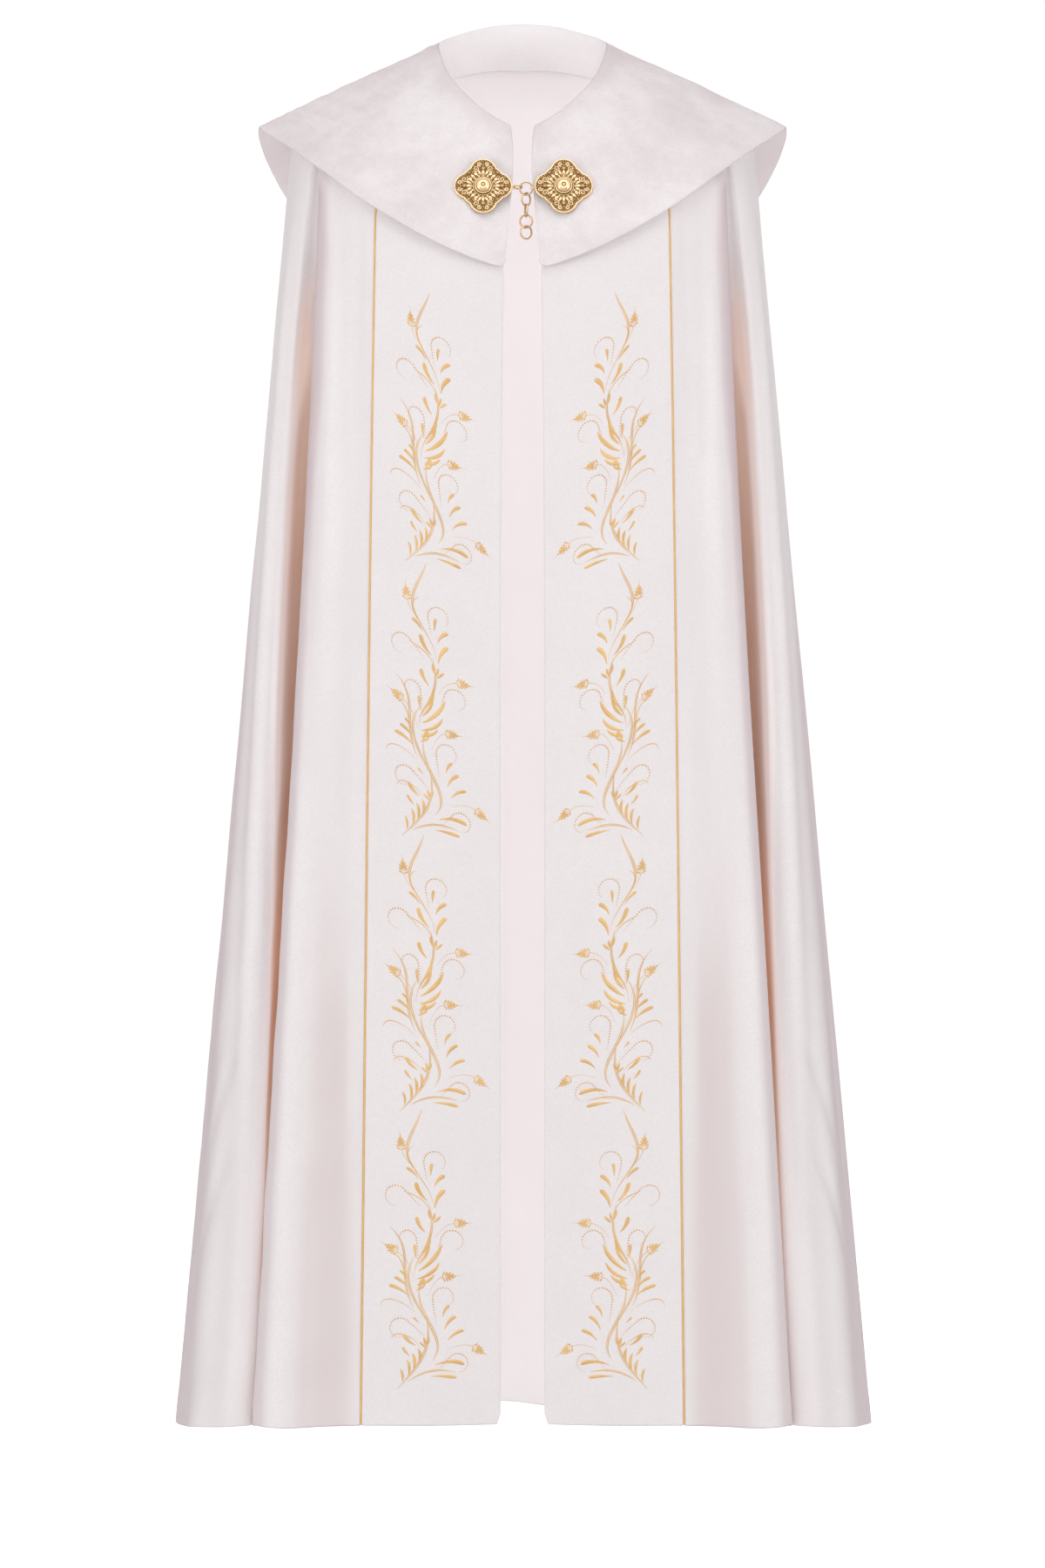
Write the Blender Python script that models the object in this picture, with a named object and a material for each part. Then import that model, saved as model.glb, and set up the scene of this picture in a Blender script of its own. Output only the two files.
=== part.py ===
"""Cope: a long ceremonial cloak, hollow and open, in the shape that it has when worn.

The frame is metres with +Z up, -Y to the front and +X to the viewer's right, and "left"
and "right" in names are the viewer's.  The origin is the middle of the neck base, where
the wearer's shoulders hold the cloak up.  Tables are in millimetres and degrees.

A bearing is an angle seen from above: 0 at the front, 90 at the right shoulder, 180 at
the centre back and 270 at the left shoulder.
"""
import math
from collections import namedtuple

import bmesh
import bpy
import numpy as np
from mathutils import Matrix, Vector

MM = 0.001

# --- cloth -------------------------------------------------------------------------
MANTLE_WALL = 1.5 * MM
BAND_WALL = 2.0 * MM          # interlined
COLLAR_WALL = 2.0 * MM        # interlined
FACING_WALL = 1.2 * MM
SEAM_GAP = 0.3 * MM
PIPING_RADIUS = 1.1 * MM
PIPING_STANDS_PROUD = 0.4 * MM
# collar's middle to mantle's middle, by bearing: at the neck seam, and past it
SEAM_LIFT = ((0, 2.9), (60, 2.9), (80, 3.2), (100, 3.9), (150, 3.6), (180, 3.2))
YOKE_LIFT = ((0, 3.4), (60, 3.6), (75, 5.0), (125, 5.5), (150, 4.5), (180, 4.5))
YOKE_START = 0.03             # share of the collar's depth where mantle and bands begin
LIFT_GROWS_OVER = 0.15        # share of the collar's depth

# --- shoulder form: the neck seam and the collar's outer edge, right half -----------
LoopPoint = namedtuple("LoopPoint", "bearing radius height")
NECK_SEAM = (
    LoopPoint(0, 106, -65),
    LoopPoint(21, 103, -49),
    LoopPoint(36, 101, -29),
    LoopPoint(50, 99, -9),
    LoopPoint(65, 94, 11),
    LoopPoint(85, 90, 32),
    LoopPoint(123, 83, 45.5),
    LoopPoint(152, 75, 56),
    LoopPoint(180, 72, 59),
)
COLLAR_EDGE_FRONT = (
    LoopPoint(0, 151, -215),
    LoopPoint(7, 151.5, -213),
    LoopPoint(30, 180, -187),
    LoopPoint(48, 210, -148.5),
    LoopPoint(64, 240, -104),
    LoopPoint(74, 252, -83),
    LoopPoint(86, 278.5, -57),
)
COLLAR_EDGE_BACK = (
    LoopPoint(86, 278.5, -57),
    LoopPoint(98, 279, -74),
    LoopPoint(104.5, 279, -90),
    LoopPoint(111.5, 274.5, -117),
    LoopPoint(125, 251, -185),
    LoopPoint(144, 213, -240),
    LoopPoint(162, 190, -262),
    LoopPoint(180, 182, -268),
)
COLLAR_SWELL = ((0, 2.5), (60, 3.0), (86, 1.5), (120, 4.0), (180, 7.0))
SWELL_PEAK = 4.0              # makes f (1 - f) reach 1 half-way
TIP_BEARING = 86.0

# --- collar -------------------------------------------------------------------------
CollarFront = namedtuple("CollarFront", "share half_gap")
COLLAR_FRONT_EDGE = (         # half the gap between the two front edges
    CollarFront(0.0, 13.0),
    CollarFront(0.12, 11.2),
    CollarFront(0.38, 10.6),
    CollarFront(0.60, 13.6),
    CollarFront(0.85, 17.2),
    CollarFront(1.0, 18.6),
)
COLLAR_COLUMNS = (8.0, 8.6, 9.5, 11.0, 15.0, 23.0, 31.0, 39.0, 47.0, 55.0, 63.0, 70.0, 76.0,
                  81.0, 84.0, TIP_BEARING, 88.0, 91.0, 96.0, 103.0, 111.5, 121.0, 132.0,
                  144.0, 156.0, 168.0)
COLLAR_SHARES = (0.0, 0.14, 0.3, 0.48, 0.66, 0.84, 1.0)
FRONT_EDGE_FADES_BY = 31.0    # bearing past which the front edge no longer moves a column
COLLAR_CORNER = 7.0           # radius of the lower front corner

# --- neck facing --------------------------------------------------------------------
Facing = namedtuple("Facing", "bearing inset drop")
FACING = (
    Facing(0, 3.1, 16),
    Facing(45, 2.7, 24),
    Facing(80, 2.2, 40),
    Facing(180, 2.4, 50),
)
FACING_TOP = 0.8              # above the neck seam
FACING_COLUMNS = 40
FACING_SHARES = (0.0, 0.5, 1.0)
FACING_FRONT_BEARING = 9.5

# --- mantle and bands: one row for each track that the cloth's section runs through --
# neck: bearing where the track meets the neck seam.  turn_x, turn_y: where it leaves the
# shoulder form and falls.  turn: length over which it bends there.  bow: how far the
# track stands off a straight line, a third of the way down.  steps: columns to the next.
Track = namedtuple("Track", "name neck turn_x turn_y turn hem_x hem_y hem_z bow_x bow_y steps")
FRONT_TRACKS = (
    Track("front_edge", 9.8, 20.5, -148, 26, 23.5, -216, -1411, 2, 0, 3),
    Track("band_middle", 36, 87, -150, 26, 95, -229, -1412, 1, 0, 3),
    Track("piping", 60, 153, -136, 24, 166.5, -227, -1412, 1, 0, 3),
    Track("panel_trough", 66, 180, -121, 20, 205, -219, -1414, 0, 0, 2),
    Track("panel_ridge", 70, 199, -113, 18, 242, -224, -1416, -3, 0, 2),
    Track("lip_front", 72, 208, -111, 14, 266, -214, -1415, -7, 0, 1),
    Track("lip", 73, 212.5, -106, 12, 277.5, -201, -1414, -7.5, 0, 1),
    Track("lip_back", 74, 212.5, -101, 12, 277.5, -186, -1414, -7.5, 3, 1),
    Track("fold_wall_in", 75, 209, -94, 12, 270, -148, -1414, -5, 8, 1),
    Track("fold_bottom_in", 76, 206.5, -88, 12, 264, -112, -1414, -1, 12, 1),
    Track("fold_bottom", 77, 208, -83.5, 12, 270.5, -99, -1414, 2, 12, 1),
    Track("fold_bottom_out", 78, 213, -82, 12, 279, -112, -1414, 6, 11, 1),
    Track("fold_wall_out", 79, 219, -82, 14, 284.5, -148, -1415, 9.5, 6, 1),
    Track("roll_edge", 80, 225, -78.5, 16, 290, -172, -1417, 9.5, 2, 1),
    Track("roll_front", 81.5, 232, -68, 20, 305, -180, -1419, 6, 0, 3),
    Track("roll_middle", 84, 240, -38, 30, 341, -128, -1423, 2, 0, 3),
    Track("roll_side", 86, 243, -16, 34, 359.5, -62, -1425, 0, 0, 2),
    Track("side", 89, 243.5, 6, 36, 366, 8, -1426, 0, 0, 3),
)
# Back folds, uneven, from the right side round to the left: ridges stand out, valleys in.
BackFold = namedtuple("BackFold", "bearing turn_depth hem_depth steps")
BACK_FOLDS = (
    BackFold(101, -3, -34, 3),
    BackFold(113, 2, 22, 3),
    BackFold(124, -4, -36, 3),
    BackFold(137, 3, 26, 3),
    BackFold(148, -3, -28, 3),
    BackFold(159, 3, 30, 3),
    BackFold(171, -4, -40, 3),
    BackFold(184, 3, 30, 3),
    BackFold(196, -3, -30, 3),
    BackFold(207, 3, 24, 3),
    BackFold(220, -4, -38, 3),
    BackFold(232, 2, 28, 3),
    BackFold(244, -3, -30, 3),
    BackFold(256, 1, 12, 3),
)
BACK_TURN_SHARE = 0.82        # share of the collar's depth where the back leaves the form
BACK_TURN = 36
BACK_HEM_HALF_WIDTH = 366
BACK_HEM_DEPTH = 300
BACK_HEM_HEIGHT = -1429
BOW_PEAK = 6.75               # makes f (1 - f)^2 reach 1 at a third
SECTION_STEP = 0.02           # along the section, for its direction
NEARLY = 1e-6

YOKE_ROWS = (0.0, 0.35, 0.7, 1.0)
TURN_ROWS = (0.4, 0.75)
FALL_ROWS = (0.0, 0.12, 0.26, 0.42, 0.6, 0.8, 1.0)
PIPING_SIDES = 8
PIPING_FIRST_ROW = 1          # starts clear of the neck seam

# --- clasp --------------------------------------------------------------------------
PLAQUE_LOBE_RADIUS = 14.5
PLAQUE_LOBE_REACH = 16.0      # plaque's centre to a lobe's centre
PLAQUE_CHEEK_RADIUS = 24.5    # round body that the lobes stand on
PLAQUE_WALL = 2.0
PLAQUE_SIDES = 72
PLAQUE_BEVEL = 0.5
PLAQUE_PITCH = 19.0           # leans back with the chest
PLAQUE_HEIGHT = -128.0
PLAQUE_LEFT_X = -41.0
PLAQUE_RIGHT_X = 43.0
SEAT_BEARING, SEAT_SHARE = 18.0, 0.45     # place on the form near a plaque's middle
SEAT_BEARINGS = np.arange(4.0, 40.0, 0.5)  # places tried for the highest point under it
SEAT_SHARES = np.arange(0.02, 1.0, 0.02)
BOSS_RADIUS = 9.0
BOSS_RISE = 5.0
BOSS_RIM = 0.6                # upright rim under the dome
BOSS_LEVELS = (0.0, 0.35, 0.65, 0.85, 0.96)   # shares of the dome's rise
BOSS_SEGMENTS = 24
RING_RADIUS = 6.7
RING_WIRE = 0.8
RING_SEGMENTS = 28
WIRE_SIDES = 8
RING_1_X = 3.8
RING_TWISTS = (0.0, 50.0, 100.0, 165.0, 212.0)
RING_PLAY = 0.4
RING_DROP = 1.6               # the first ring's middle below the link
EYE_DROP = 1.0                # the link below the left plaque's middle
LINK_HALF_HEIGHT = 2.7
LINK_WIRE = 0.6
LINK_TILT = 54.0
LINK_PLAY = 0.7
LINK_SEGMENTS = 24
EYE_RADIUS = 2.2
EYE_WIRE = 0.65
EYE_STANDS_OFF = 1.1
EYE_SEGMENTS = 20
HOOK_WIRE = 0.6
HOOK_ROOT = 3.0               # sunk in the plaque
HOOK_TAIL = 1.0
HOOK_TURNS = (110, 135, 160, 180, 200, 225, 250)

Finish = namedtuple("Finish", "colour roughness metallic")
SATIN = Finish((0.84, 0.78, 0.79), 0.45, 0.0)
BAND_SATIN = Finish((0.87, 0.82, 0.82), 0.45, 0.0)
FACING_SATIN = Finish((0.80, 0.74, 0.74), 0.5, 0.0)
GOLD_CORD = Finish((0.72, 0.45, 0.16), 0.5, 0.2)
GOLD_METAL = Finish((0.83, 0.60, 0.28), 0.3, 1.0)


# --- curves through tables ------------------------------------------------------------
def smooth_through(knots, values, place, flat_ends=False):
    """Cubic through (knots, values) at place; each slope comes from the two neighbours."""
    knots = np.asarray(knots, float)
    values = np.asarray(values, float)
    steps = np.diff(knots)
    chords = (np.diff(values, axis=0).T / steps).T
    slopes = np.empty_like(values)
    before, after = steps[:-1], steps[1:]
    slopes[1:-1] = ((chords[:-1].T * after + chords[1:].T * before) / (before + after)).T
    slopes[0], slopes[-1] = chords[0], chords[-1]
    if flat_ends:
        slopes[0], slopes[-1] = 0.0, 0.0
    i = int(np.clip(np.searchsorted(knots, place, side="right") - 1, 0, len(steps) - 1))
    t = (place - knots[i]) / steps[i]
    h = steps[i]
    return ((2 * t**3 - 3 * t**2 + 1) * values[i] + (t**3 - 2 * t**2 + t) * h * slopes[i]
            + (3 * t**2 - 2 * t**3) * values[i + 1] + (t**3 - t**2) * h * slopes[i + 1])


def half_bearing(bearing):
    """The bearing mirrored into the right half, 0 to 180."""
    bearing = bearing % 360.0
    return 360.0 - bearing if bearing > 180.0 else bearing


def loop_at(table, bearing, flat_ends=False):
    """Radius and height, in metres, of a loop table at a bearing."""
    knots = [p.bearing for p in table]
    values = [(p.radius, p.height) for p in table]
    return smooth_through(knots, values, half_bearing(bearing), flat_ends) * MM


def collar_edge_at(bearing):
    """Radius and height of the collar's outer edge, with a corner at each tip."""
    front = half_bearing(bearing) <= TIP_BEARING
    return loop_at(COLLAR_EDGE_FRONT if front else COLLAR_EDGE_BACK, bearing)


# --- shoulder form --------------------------------------------------------------------
def form_point(bearing, share):
    """Point on the shoulder form: share 0 is the neck seam, 1 the collar's edge."""
    neck = loop_at(NECK_SEAM, bearing, flat_ends=True)
    edge = collar_edge_at(bearing)
    radius, height = neck + (edge - neck) * share
    swell = np.interp(half_bearing(bearing), *zip(*COLLAR_SWELL)) * MM
    height += SWELL_PEAK * swell * share * (1.0 - share)
    angle = math.radians(bearing)
    return np.array((radius * math.sin(angle), -radius * math.cos(angle), height))


def form_normal(bearing, share, bearing_step=2.5, share_step=0.03):
    """Outward unit normal of the shoulder form."""
    round_it = form_point(bearing + bearing_step, share) - form_point(bearing - bearing_step, share)
    down_it = form_point(bearing, share + share_step) - form_point(bearing, share - share_step)
    normal = np.cross(down_it, round_it)
    return normal / np.linalg.norm(normal)


def under_form(bearing, share):
    """Point of the mantle's middle surface, under the collar."""
    lifts = [np.interp(half_bearing(bearing), *zip(*table)) * MM for table in (SEAM_LIFT, YOKE_LIFT)]
    lift = np.interp(share, (YOKE_START, LIFT_GROWS_OVER), lifts)
    return form_point(bearing, share) - lift * form_normal(bearing, share)


def bearing_and_share(x, y):
    """Bearing and share of the form at a plan position."""
    bearing = math.degrees(math.atan2(x, -y)) % 360.0
    neck_radius = loop_at(NECK_SEAM, bearing, flat_ends=True)[0]
    edge_radius = collar_edge_at(bearing)[0]
    return bearing, (math.hypot(x, y) - neck_radius) / (edge_radius - neck_radius)


# --- mantle section -------------------------------------------------------------------
def mirrored(track):
    """The same track on the left side."""
    return track._replace(neck=360.0 - track.neck, turn_x=-track.turn_x, hem_x=-track.hem_x,
                          bow_x=-track.bow_x)


def back_track(fold):
    """A track of the back, from its fold: a ridge or valley on the plain section."""
    angle = math.radians(fold.bearing)
    aim = np.array((math.sin(angle), -math.cos(angle)))
    neck_radius = loop_at(NECK_SEAM, fold.bearing, flat_ends=True)[0] / MM
    edge_radius = collar_edge_at(fold.bearing)[0] / MM
    turn = aim * (neck_radius + BACK_TURN_SHARE * (edge_radius - neck_radius) + fold.turn_depth)
    hem_radius = 1.0 / math.hypot(aim[0] / BACK_HEM_HALF_WIDTH, aim[1] / BACK_HEM_DEPTH)
    hem = aim * (hem_radius + fold.hem_depth)
    return Track("back_fold", fold.bearing, *turn, BACK_TURN, *hem, BACK_HEM_HEIGHT,
                 0.0, 0.0, fold.steps)


def all_tracks():
    """Every track from the right front edge round the back to the left front edge."""
    back = [back_track(fold) for fold in BACK_FOLDS]
    left = [mirrored(track) for track in reversed(FRONT_TRACKS)]
    steps = [track.steps for track in FRONT_TRACKS[:-1]][::-1]
    left = [track._replace(steps=count) for track, count in zip(left, steps + [1])]
    return list(FRONT_TRACKS) + back + left


class Section:
    """The cloth's section, read as a smooth curve through the tracks at every height."""

    def __init__(self, tracks):
        self.tracks = tracks
        hems = np.array([(t.hem_x, t.hem_y) for t in tracks])
        spacing = np.sqrt(np.linalg.norm(np.diff(hems, axis=0), axis=1))
        self.knots = np.concatenate(((0.0,), np.cumsum(spacing)))
        self.values = np.array([t[1:10] for t in tracks], float)

    def knot(self, name, last=False):
        """Place of the named track along the section; the last one is the left side's."""
        found = [i for i, t in enumerate(self.tracks) if t.name == name]
        return self.knots[found[-1 if last else 0]]

    def places(self, start, end):
        """Column places from start to end, as many to each span as its track says."""
        places = []
        for i, track in enumerate(self.tracks[:-1]):
            inside = np.linspace(self.knots[i], self.knots[i + 1], track.steps, endpoint=False)
            places += [p for p in inside if start - NEARLY <= p < end - NEARLY]
        return places + [end]

    def column(self, place):
        """Points down one column, from the neck seam over the shoulder to the hem."""
        values = smooth_through(self.knots, self.values, place)
        neck, turn_x, turn_y, turn, hem_x, hem_y, hem_z, bow_x, bow_y = values
        bearing, share = bearing_and_share(turn_x * MM, turn_y * MM)
        corner = under_form(bearing, share)
        top = under_form(neck, YOKE_START)
        reach = 1.0 - turn * MM / np.linalg.norm(corner - top)
        points = []
        for k in YOKE_ROWS:
            k *= reach
            points.append(under_form(neck + (bearing - neck) * k,
                                     YOKE_START + (share - YOKE_START) * k))
        hem = np.array((hem_x, hem_y, hem_z)) * MM
        fall = hem - corner
        first = corner + fall * turn * MM / np.linalg.norm(fall)
        last = points[-1]
        for t in TURN_ROWS:
            points.append((1 - t)**2 * last + 2 * t * (1 - t) * corner + t * t * first)
        bow = np.array((bow_x, bow_y, 0.0)) * MM
        for f in FALL_ROWS:
            points.append(first + (hem - first) * f + bow * BOW_PEAK * f * (1.0 - f)**2)
        return np.array(points)

    def shifted_column(self, place, distance):
        """A column moved along the cloth by a distance, level with the original."""
        column = self.column(place)
        along = self.column(place + SECTION_STEP) - self.column(place - SECTION_STEP)
        down = np.gradient(column, axis=0)
        down /= np.linalg.norm(down, axis=1)[:, None]
        along -= down * np.sum(along * down, axis=1)[:, None]
        along /= np.linalg.norm(along, axis=1)[:, None]
        return column + along * distance

    def grid(self, start, end, start_shift=0.0, end_shift=0.0):
        """Middle surface of a piece, rows by columns, with its two long edges shifted."""
        places = self.places(start, end)
        columns = [self.column(p) for p in places]
        if start_shift:
            columns[0] = self.shifted_column(start, start_shift)
        if end_shift:
            columns[-1] = self.shifted_column(end, end_shift)
        return np.array(columns).transpose(1, 0, 2)


# --- mesh making ----------------------------------------------------------------------
def material(name, finish):
    """Principled material of a finish."""
    made = bpy.data.materials.new(name)
    made.use_nodes = True
    shader = made.node_tree.nodes["Principled BSDF"]
    shader.inputs["Base Color"].default_value = (*finish.colour, 1.0)
    shader.inputs["Roughness"].default_value = finish.roughness
    shader.inputs["Metallic"].default_value = finish.metallic
    return made


def add_object(name, verts, faces, finish, sharp_angle=50.0):
    """Closed mesh object with its own material, shaded smooth but for sharp edges."""
    mesh = bpy.data.meshes.new(name)
    bm = bmesh.new()
    made = [bm.verts.new(v) for v in verts]
    for face in faces:
        bm.faces.new([made[i] for i in face])
    bmesh.ops.recalc_face_normals(bm, faces=bm.faces)
    bm.to_mesh(mesh)
    bm.free()
    mesh.shade_smooth()
    mesh.set_sharp_from_angle(angle=math.radians(sharp_angle))
    mesh.materials.append(material(name, finish))
    obj = bpy.data.objects.new(name, mesh)
    bpy.context.collection.objects.link(obj)
    return obj


def grid_normals(grid):
    """Unit normals of a grid of points, from its neighbours along rows and columns."""
    down = np.gradient(grid, axis=0)
    across = np.gradient(grid, axis=1)
    normals = np.cross(down, across)
    return normals / np.linalg.norm(normals, axis=2)[:, :, None]


def cloth_shell(name, grid, wall, finish):
    """Wall of even thickness on a grid of middle points, closed round its edges."""
    rows, columns = grid.shape[:2]
    offset = grid_normals(grid) * wall / 2.0
    outer = (grid + offset).reshape(-1, 3)
    inner = (grid - offset).reshape(-1, 3)
    count = rows * columns
    faces = []
    for r in range(rows - 1):
        for c in range(columns - 1):
            a, b = r * columns + c, (r + 1) * columns + c
            faces.append((a, a + 1, b + 1, b))
            faces.append((a + count, b + count, b + 1 + count, a + 1 + count))
    rim = [(0, c) for c in range(columns)] + [(r, columns - 1) for r in range(1, rows)]
    rim += [(rows - 1, c) for c in range(columns - 2, -1, -1)]
    rim += [(r, 0) for r in range(rows - 2, 0, -1)]
    rim = [r * columns + c for r, c in rim]
    for a, b in zip(rim, rim[1:] + rim[:1]):
        faces.append((a, a + count, b + count, b))
    return add_object(name, np.concatenate((outer, inner)), faces, finish)


def tube(name, rings, finish, closed=False):
    """Tube through rings of points; its ends are capped unless it closes on itself."""
    sides = len(rings[0])
    faces = []
    spans = len(rings) if closed else len(rings) - 1
    for k in range(spans):
        here, there = k * sides, (k + 1) % len(rings) * sides
        for s in range(sides):
            n = (s + 1) % sides
            faces.append((here + s, here + n, there + n, there + s))
    if not closed:
        faces.append(tuple(range(sides)))
        faces.append(tuple((len(rings) - 1) * sides + s for s in range(sides)))
    return add_object(name, np.concatenate(rings), faces, finish)


def wire_rings(points, radius, sides, closed):
    """Rings of points round a wire's middle line."""
    points = np.asarray(points)
    if closed:
        ahead, behind = np.roll(points, -1, axis=0), np.roll(points, 1, axis=0)
    else:
        ahead = np.concatenate((points[1:], points[-1:]))
        behind = np.concatenate((points[:1], points[:-1]))
    tangents = ahead - behind
    tangents /= np.linalg.norm(tangents, axis=1)[:, None]
    normal = np.cross(tangents[0], tangents[len(points) // 3])
    if np.linalg.norm(normal) < NEARLY:
        normal = np.cross(tangents[0], (0.0, 0.0, 1.0))
    normal /= np.linalg.norm(normal)
    rings = []
    for point, tangent in zip(points, tangents):
        side = np.cross(tangent, normal)
        side /= np.linalg.norm(side)
        up = np.cross(side, tangent)
        turns = np.arange(sides) * math.tau / sides
        rings.append(point + radius * (np.outer(np.cos(turns), side) + np.outer(np.sin(turns), up)))
    return rings


# --- cloth pieces ---------------------------------------------------------------------
def build_mantle_and_bands():
    """The mantle, the two front bands and the piping in the seams between them."""
    section = Section(all_tracks())
    seam = PIPING_RADIUS + SEAM_GAP
    right, left = section.knot("piping"), section.knot("piping", last=True)
    first, last = section.knots[0], section.knots[-1]
    cloth_shell("front_band_right", section.grid(first, right, end_shift=-seam), BAND_WALL,
                BAND_SATIN)
    cloth_shell("mantle", section.grid(right, left, seam, -seam), MANTLE_WALL, SATIN)
    cloth_shell("front_band_left", section.grid(left, last, start_shift=seam), BAND_WALL,
                BAND_SATIN)
    for name, place in (("piping_right", right), ("piping_left", left)):
        tube(name, piping_rings(section, place), GOLD_CORD)


def piping_rings(section, place):
    """Rings of points round the piping, which lies in the seam and stands a little proud."""
    line = section.column(place)
    down = np.gradient(line, axis=0)
    across = section.shifted_column(place, MM) - line
    outward = np.cross(down, across)
    outward /= np.linalg.norm(outward, axis=1)[:, None]
    across = np.cross(outward, down)
    across /= np.linalg.norm(across, axis=1)[:, None]
    turns = np.arange(PIPING_SIDES) * math.tau / PIPING_SIDES
    rings = []
    line, across, outward = (a[PIPING_FIRST_ROW:] for a in (line, across, outward))
    for point, side, out in zip(line + outward * PIPING_STANDS_PROUD, across, outward):
        rings.append(point + PIPING_RADIUS * (np.outer(np.cos(turns), side)
                                              + np.outer(np.sin(turns), out)))
    return rings


def collar_front_bearing(share):
    """Bearing of the collar's front edge at a share of its depth."""
    half_gap = smooth_through(*zip(*COLLAR_FRONT_EDGE), share) * MM
    neck = loop_at(NECK_SEAM, COLLAR_COLUMNS[0], flat_ends=True)[0]
    edge = collar_edge_at(COLLAR_COLUMNS[0])[0]
    return math.degrees(math.asin(half_gap / (neck + (edge - neck) * share)))


def collar_column(bearing):
    """Points down one column of the collar's right half, from the neck to its edge."""
    from_edge = (bearing - COLLAR_COLUMNS[0]) * math.radians(1.0) * COLLAR_EDGE_FRONT[1].radius
    inside = max(0.0, COLLAR_CORNER - from_edge)
    rise = COLLAR_CORNER - math.sqrt(COLLAR_CORNER**2 - inside**2)
    length = np.linalg.norm(form_point(bearing, 1.0) - form_point(bearing, 0.0))
    reach = 1.0 - rise * MM / length
    fade = np.clip((FRONT_EDGE_FADES_BY - bearing) / (FRONT_EDGE_FADES_BY - COLLAR_COLUMNS[0]), 0, 1)
    points = []
    for share in COLLAR_SHARES:
        share *= reach
        moved = (collar_front_bearing(share) - COLLAR_COLUMNS[0]) * fade
        points.append(form_point(bearing + moved, share))
    return points


def build_collar():
    """Cape collar: one piece round the neck, open at the front, pointed over the shoulders."""
    right = [collar_column(bearing) for bearing in COLLAR_COLUMNS]
    back = [[form_point(180.0, share) for share in COLLAR_SHARES]]
    left = [[point * (-1.0, 1.0, 1.0) for point in column] for column in reversed(right)]
    grid = np.array(right + back + left).transpose(1, 0, 2)
    cloth_shell("collar", grid, COLLAR_WALL, SATIN)


def build_neck_facing():
    """Facing: a band inside the neck, deepest at the back."""
    columns = []
    for bearing in np.linspace(FACING_FRONT_BEARING, 360.0 - FACING_FRONT_BEARING, FACING_COLUMNS):
        half = half_bearing(bearing)
        inset, drop = (np.interp(half, [f.bearing for f in FACING], [f[k] for f in FACING])
                       for k in (1, 2))
        radius, height = loop_at(NECK_SEAM, bearing, flat_ends=True)
        radius -= inset * MM
        angle = math.radians(bearing)
        top = height + FACING_TOP * MM
        columns.append([(radius * math.sin(angle), -radius * math.cos(angle), top - drop * MM * k)
                        for k in FACING_SHARES])
    cloth_shell("neck_facing", np.array(columns).transpose(1, 0, 2), FACING_WALL, FACING_SATIN)


# --- clasp ----------------------------------------------------------------------------
def plaque_radius(angle):
    """Outer edge of the quatrefoil: four lobes on a round body."""
    off_lobe = (angle + math.pi / 4) % (math.pi / 2) - math.pi / 4
    across = PLAQUE_LOBE_REACH * math.sin(off_lobe)
    lobe = PLAQUE_LOBE_REACH * math.cos(off_lobe)
    lobe += math.sqrt(max(0.0, PLAQUE_LOBE_RADIUS**2 - across**2))
    return max(lobe, PLAQUE_CHEEK_RADIUS) * MM


def plaque_outline():
    """The quatrefoil's edge, as points in a plane."""
    angles = [math.tau * k / PLAQUE_SIDES for k in range(PLAQUE_SIDES)]
    return [(plaque_radius(a) * math.cos(a), plaque_radius(a) * math.sin(a)) for a in angles]


def plaque_frame(x):
    """World matrix of a plaque that rests on the collar: +X across, +Y up, +Z out of its face."""
    side = math.copysign(1.0, x)
    turn = Matrix.Rotation(math.radians(90.0 - PLAQUE_PITCH), 3, "X")
    across, up, normal = (np.array(turn.col[k]) for k in range(3))
    centre = np.array((x, 0.0, PLAQUE_HEIGHT)) * MM
    centre[1] = form_point(SEAT_BEARING, SEAT_SHARE)[1]
    edge = COLLAR_FRONT_EDGE[2].half_gap * MM
    highest = -1.0
    for bearing in SEAT_BEARINGS:
        for share in SEAT_SHARES:
            point = form_point(bearing, share)
            offset = point * (side, 1.0, 1.0) - centre
            u, v = offset @ across, offset @ up
            if point[0] > edge and math.hypot(u, v) < plaque_radius(math.atan2(v, u)):
                highest = max(highest, offset @ normal)
    rise = highest + COLLAR_WALL / 2.0 + SEAM_GAP
    centre[1] += rise / normal[1]
    return Matrix.Translation(Vector(centre)) @ turn.to_4x4()


def extruded_plate(name, outline, finish):
    """Plate standing on its own plane, its front edge eased."""
    shrink = 1.0 - PLAQUE_BEVEL / PLAQUE_CHEEK_RADIUS
    inner = [(x * shrink, y * shrink) for x, y in outline]
    levels = ((outline, 0.0), (outline, (PLAQUE_WALL - PLAQUE_BEVEL) * MM), (inner, PLAQUE_WALL * MM))
    verts = [(x, y, z) for points, z in levels for x, y in points]
    count = len(outline)
    faces = [tuple(range(count)), tuple(2 * count + i for i in range(count))]
    for level in range(2):
        for i in range(count):
            n = (i + 1) % count
            a = level * count
            faces.append((a + i, a + n, a + n + count, a + i + count))
    return add_object(name, verts, faces, finish)


def fuse(target, other):
    """Union of two meshes, kept in the first."""
    union = target.modifiers.new("union", "BOOLEAN")
    union.operation = "UNION"
    union.solver = "EXACT"
    union.object = other
    other.hide_render = True
    other.display_type = "WIRE"


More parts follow.
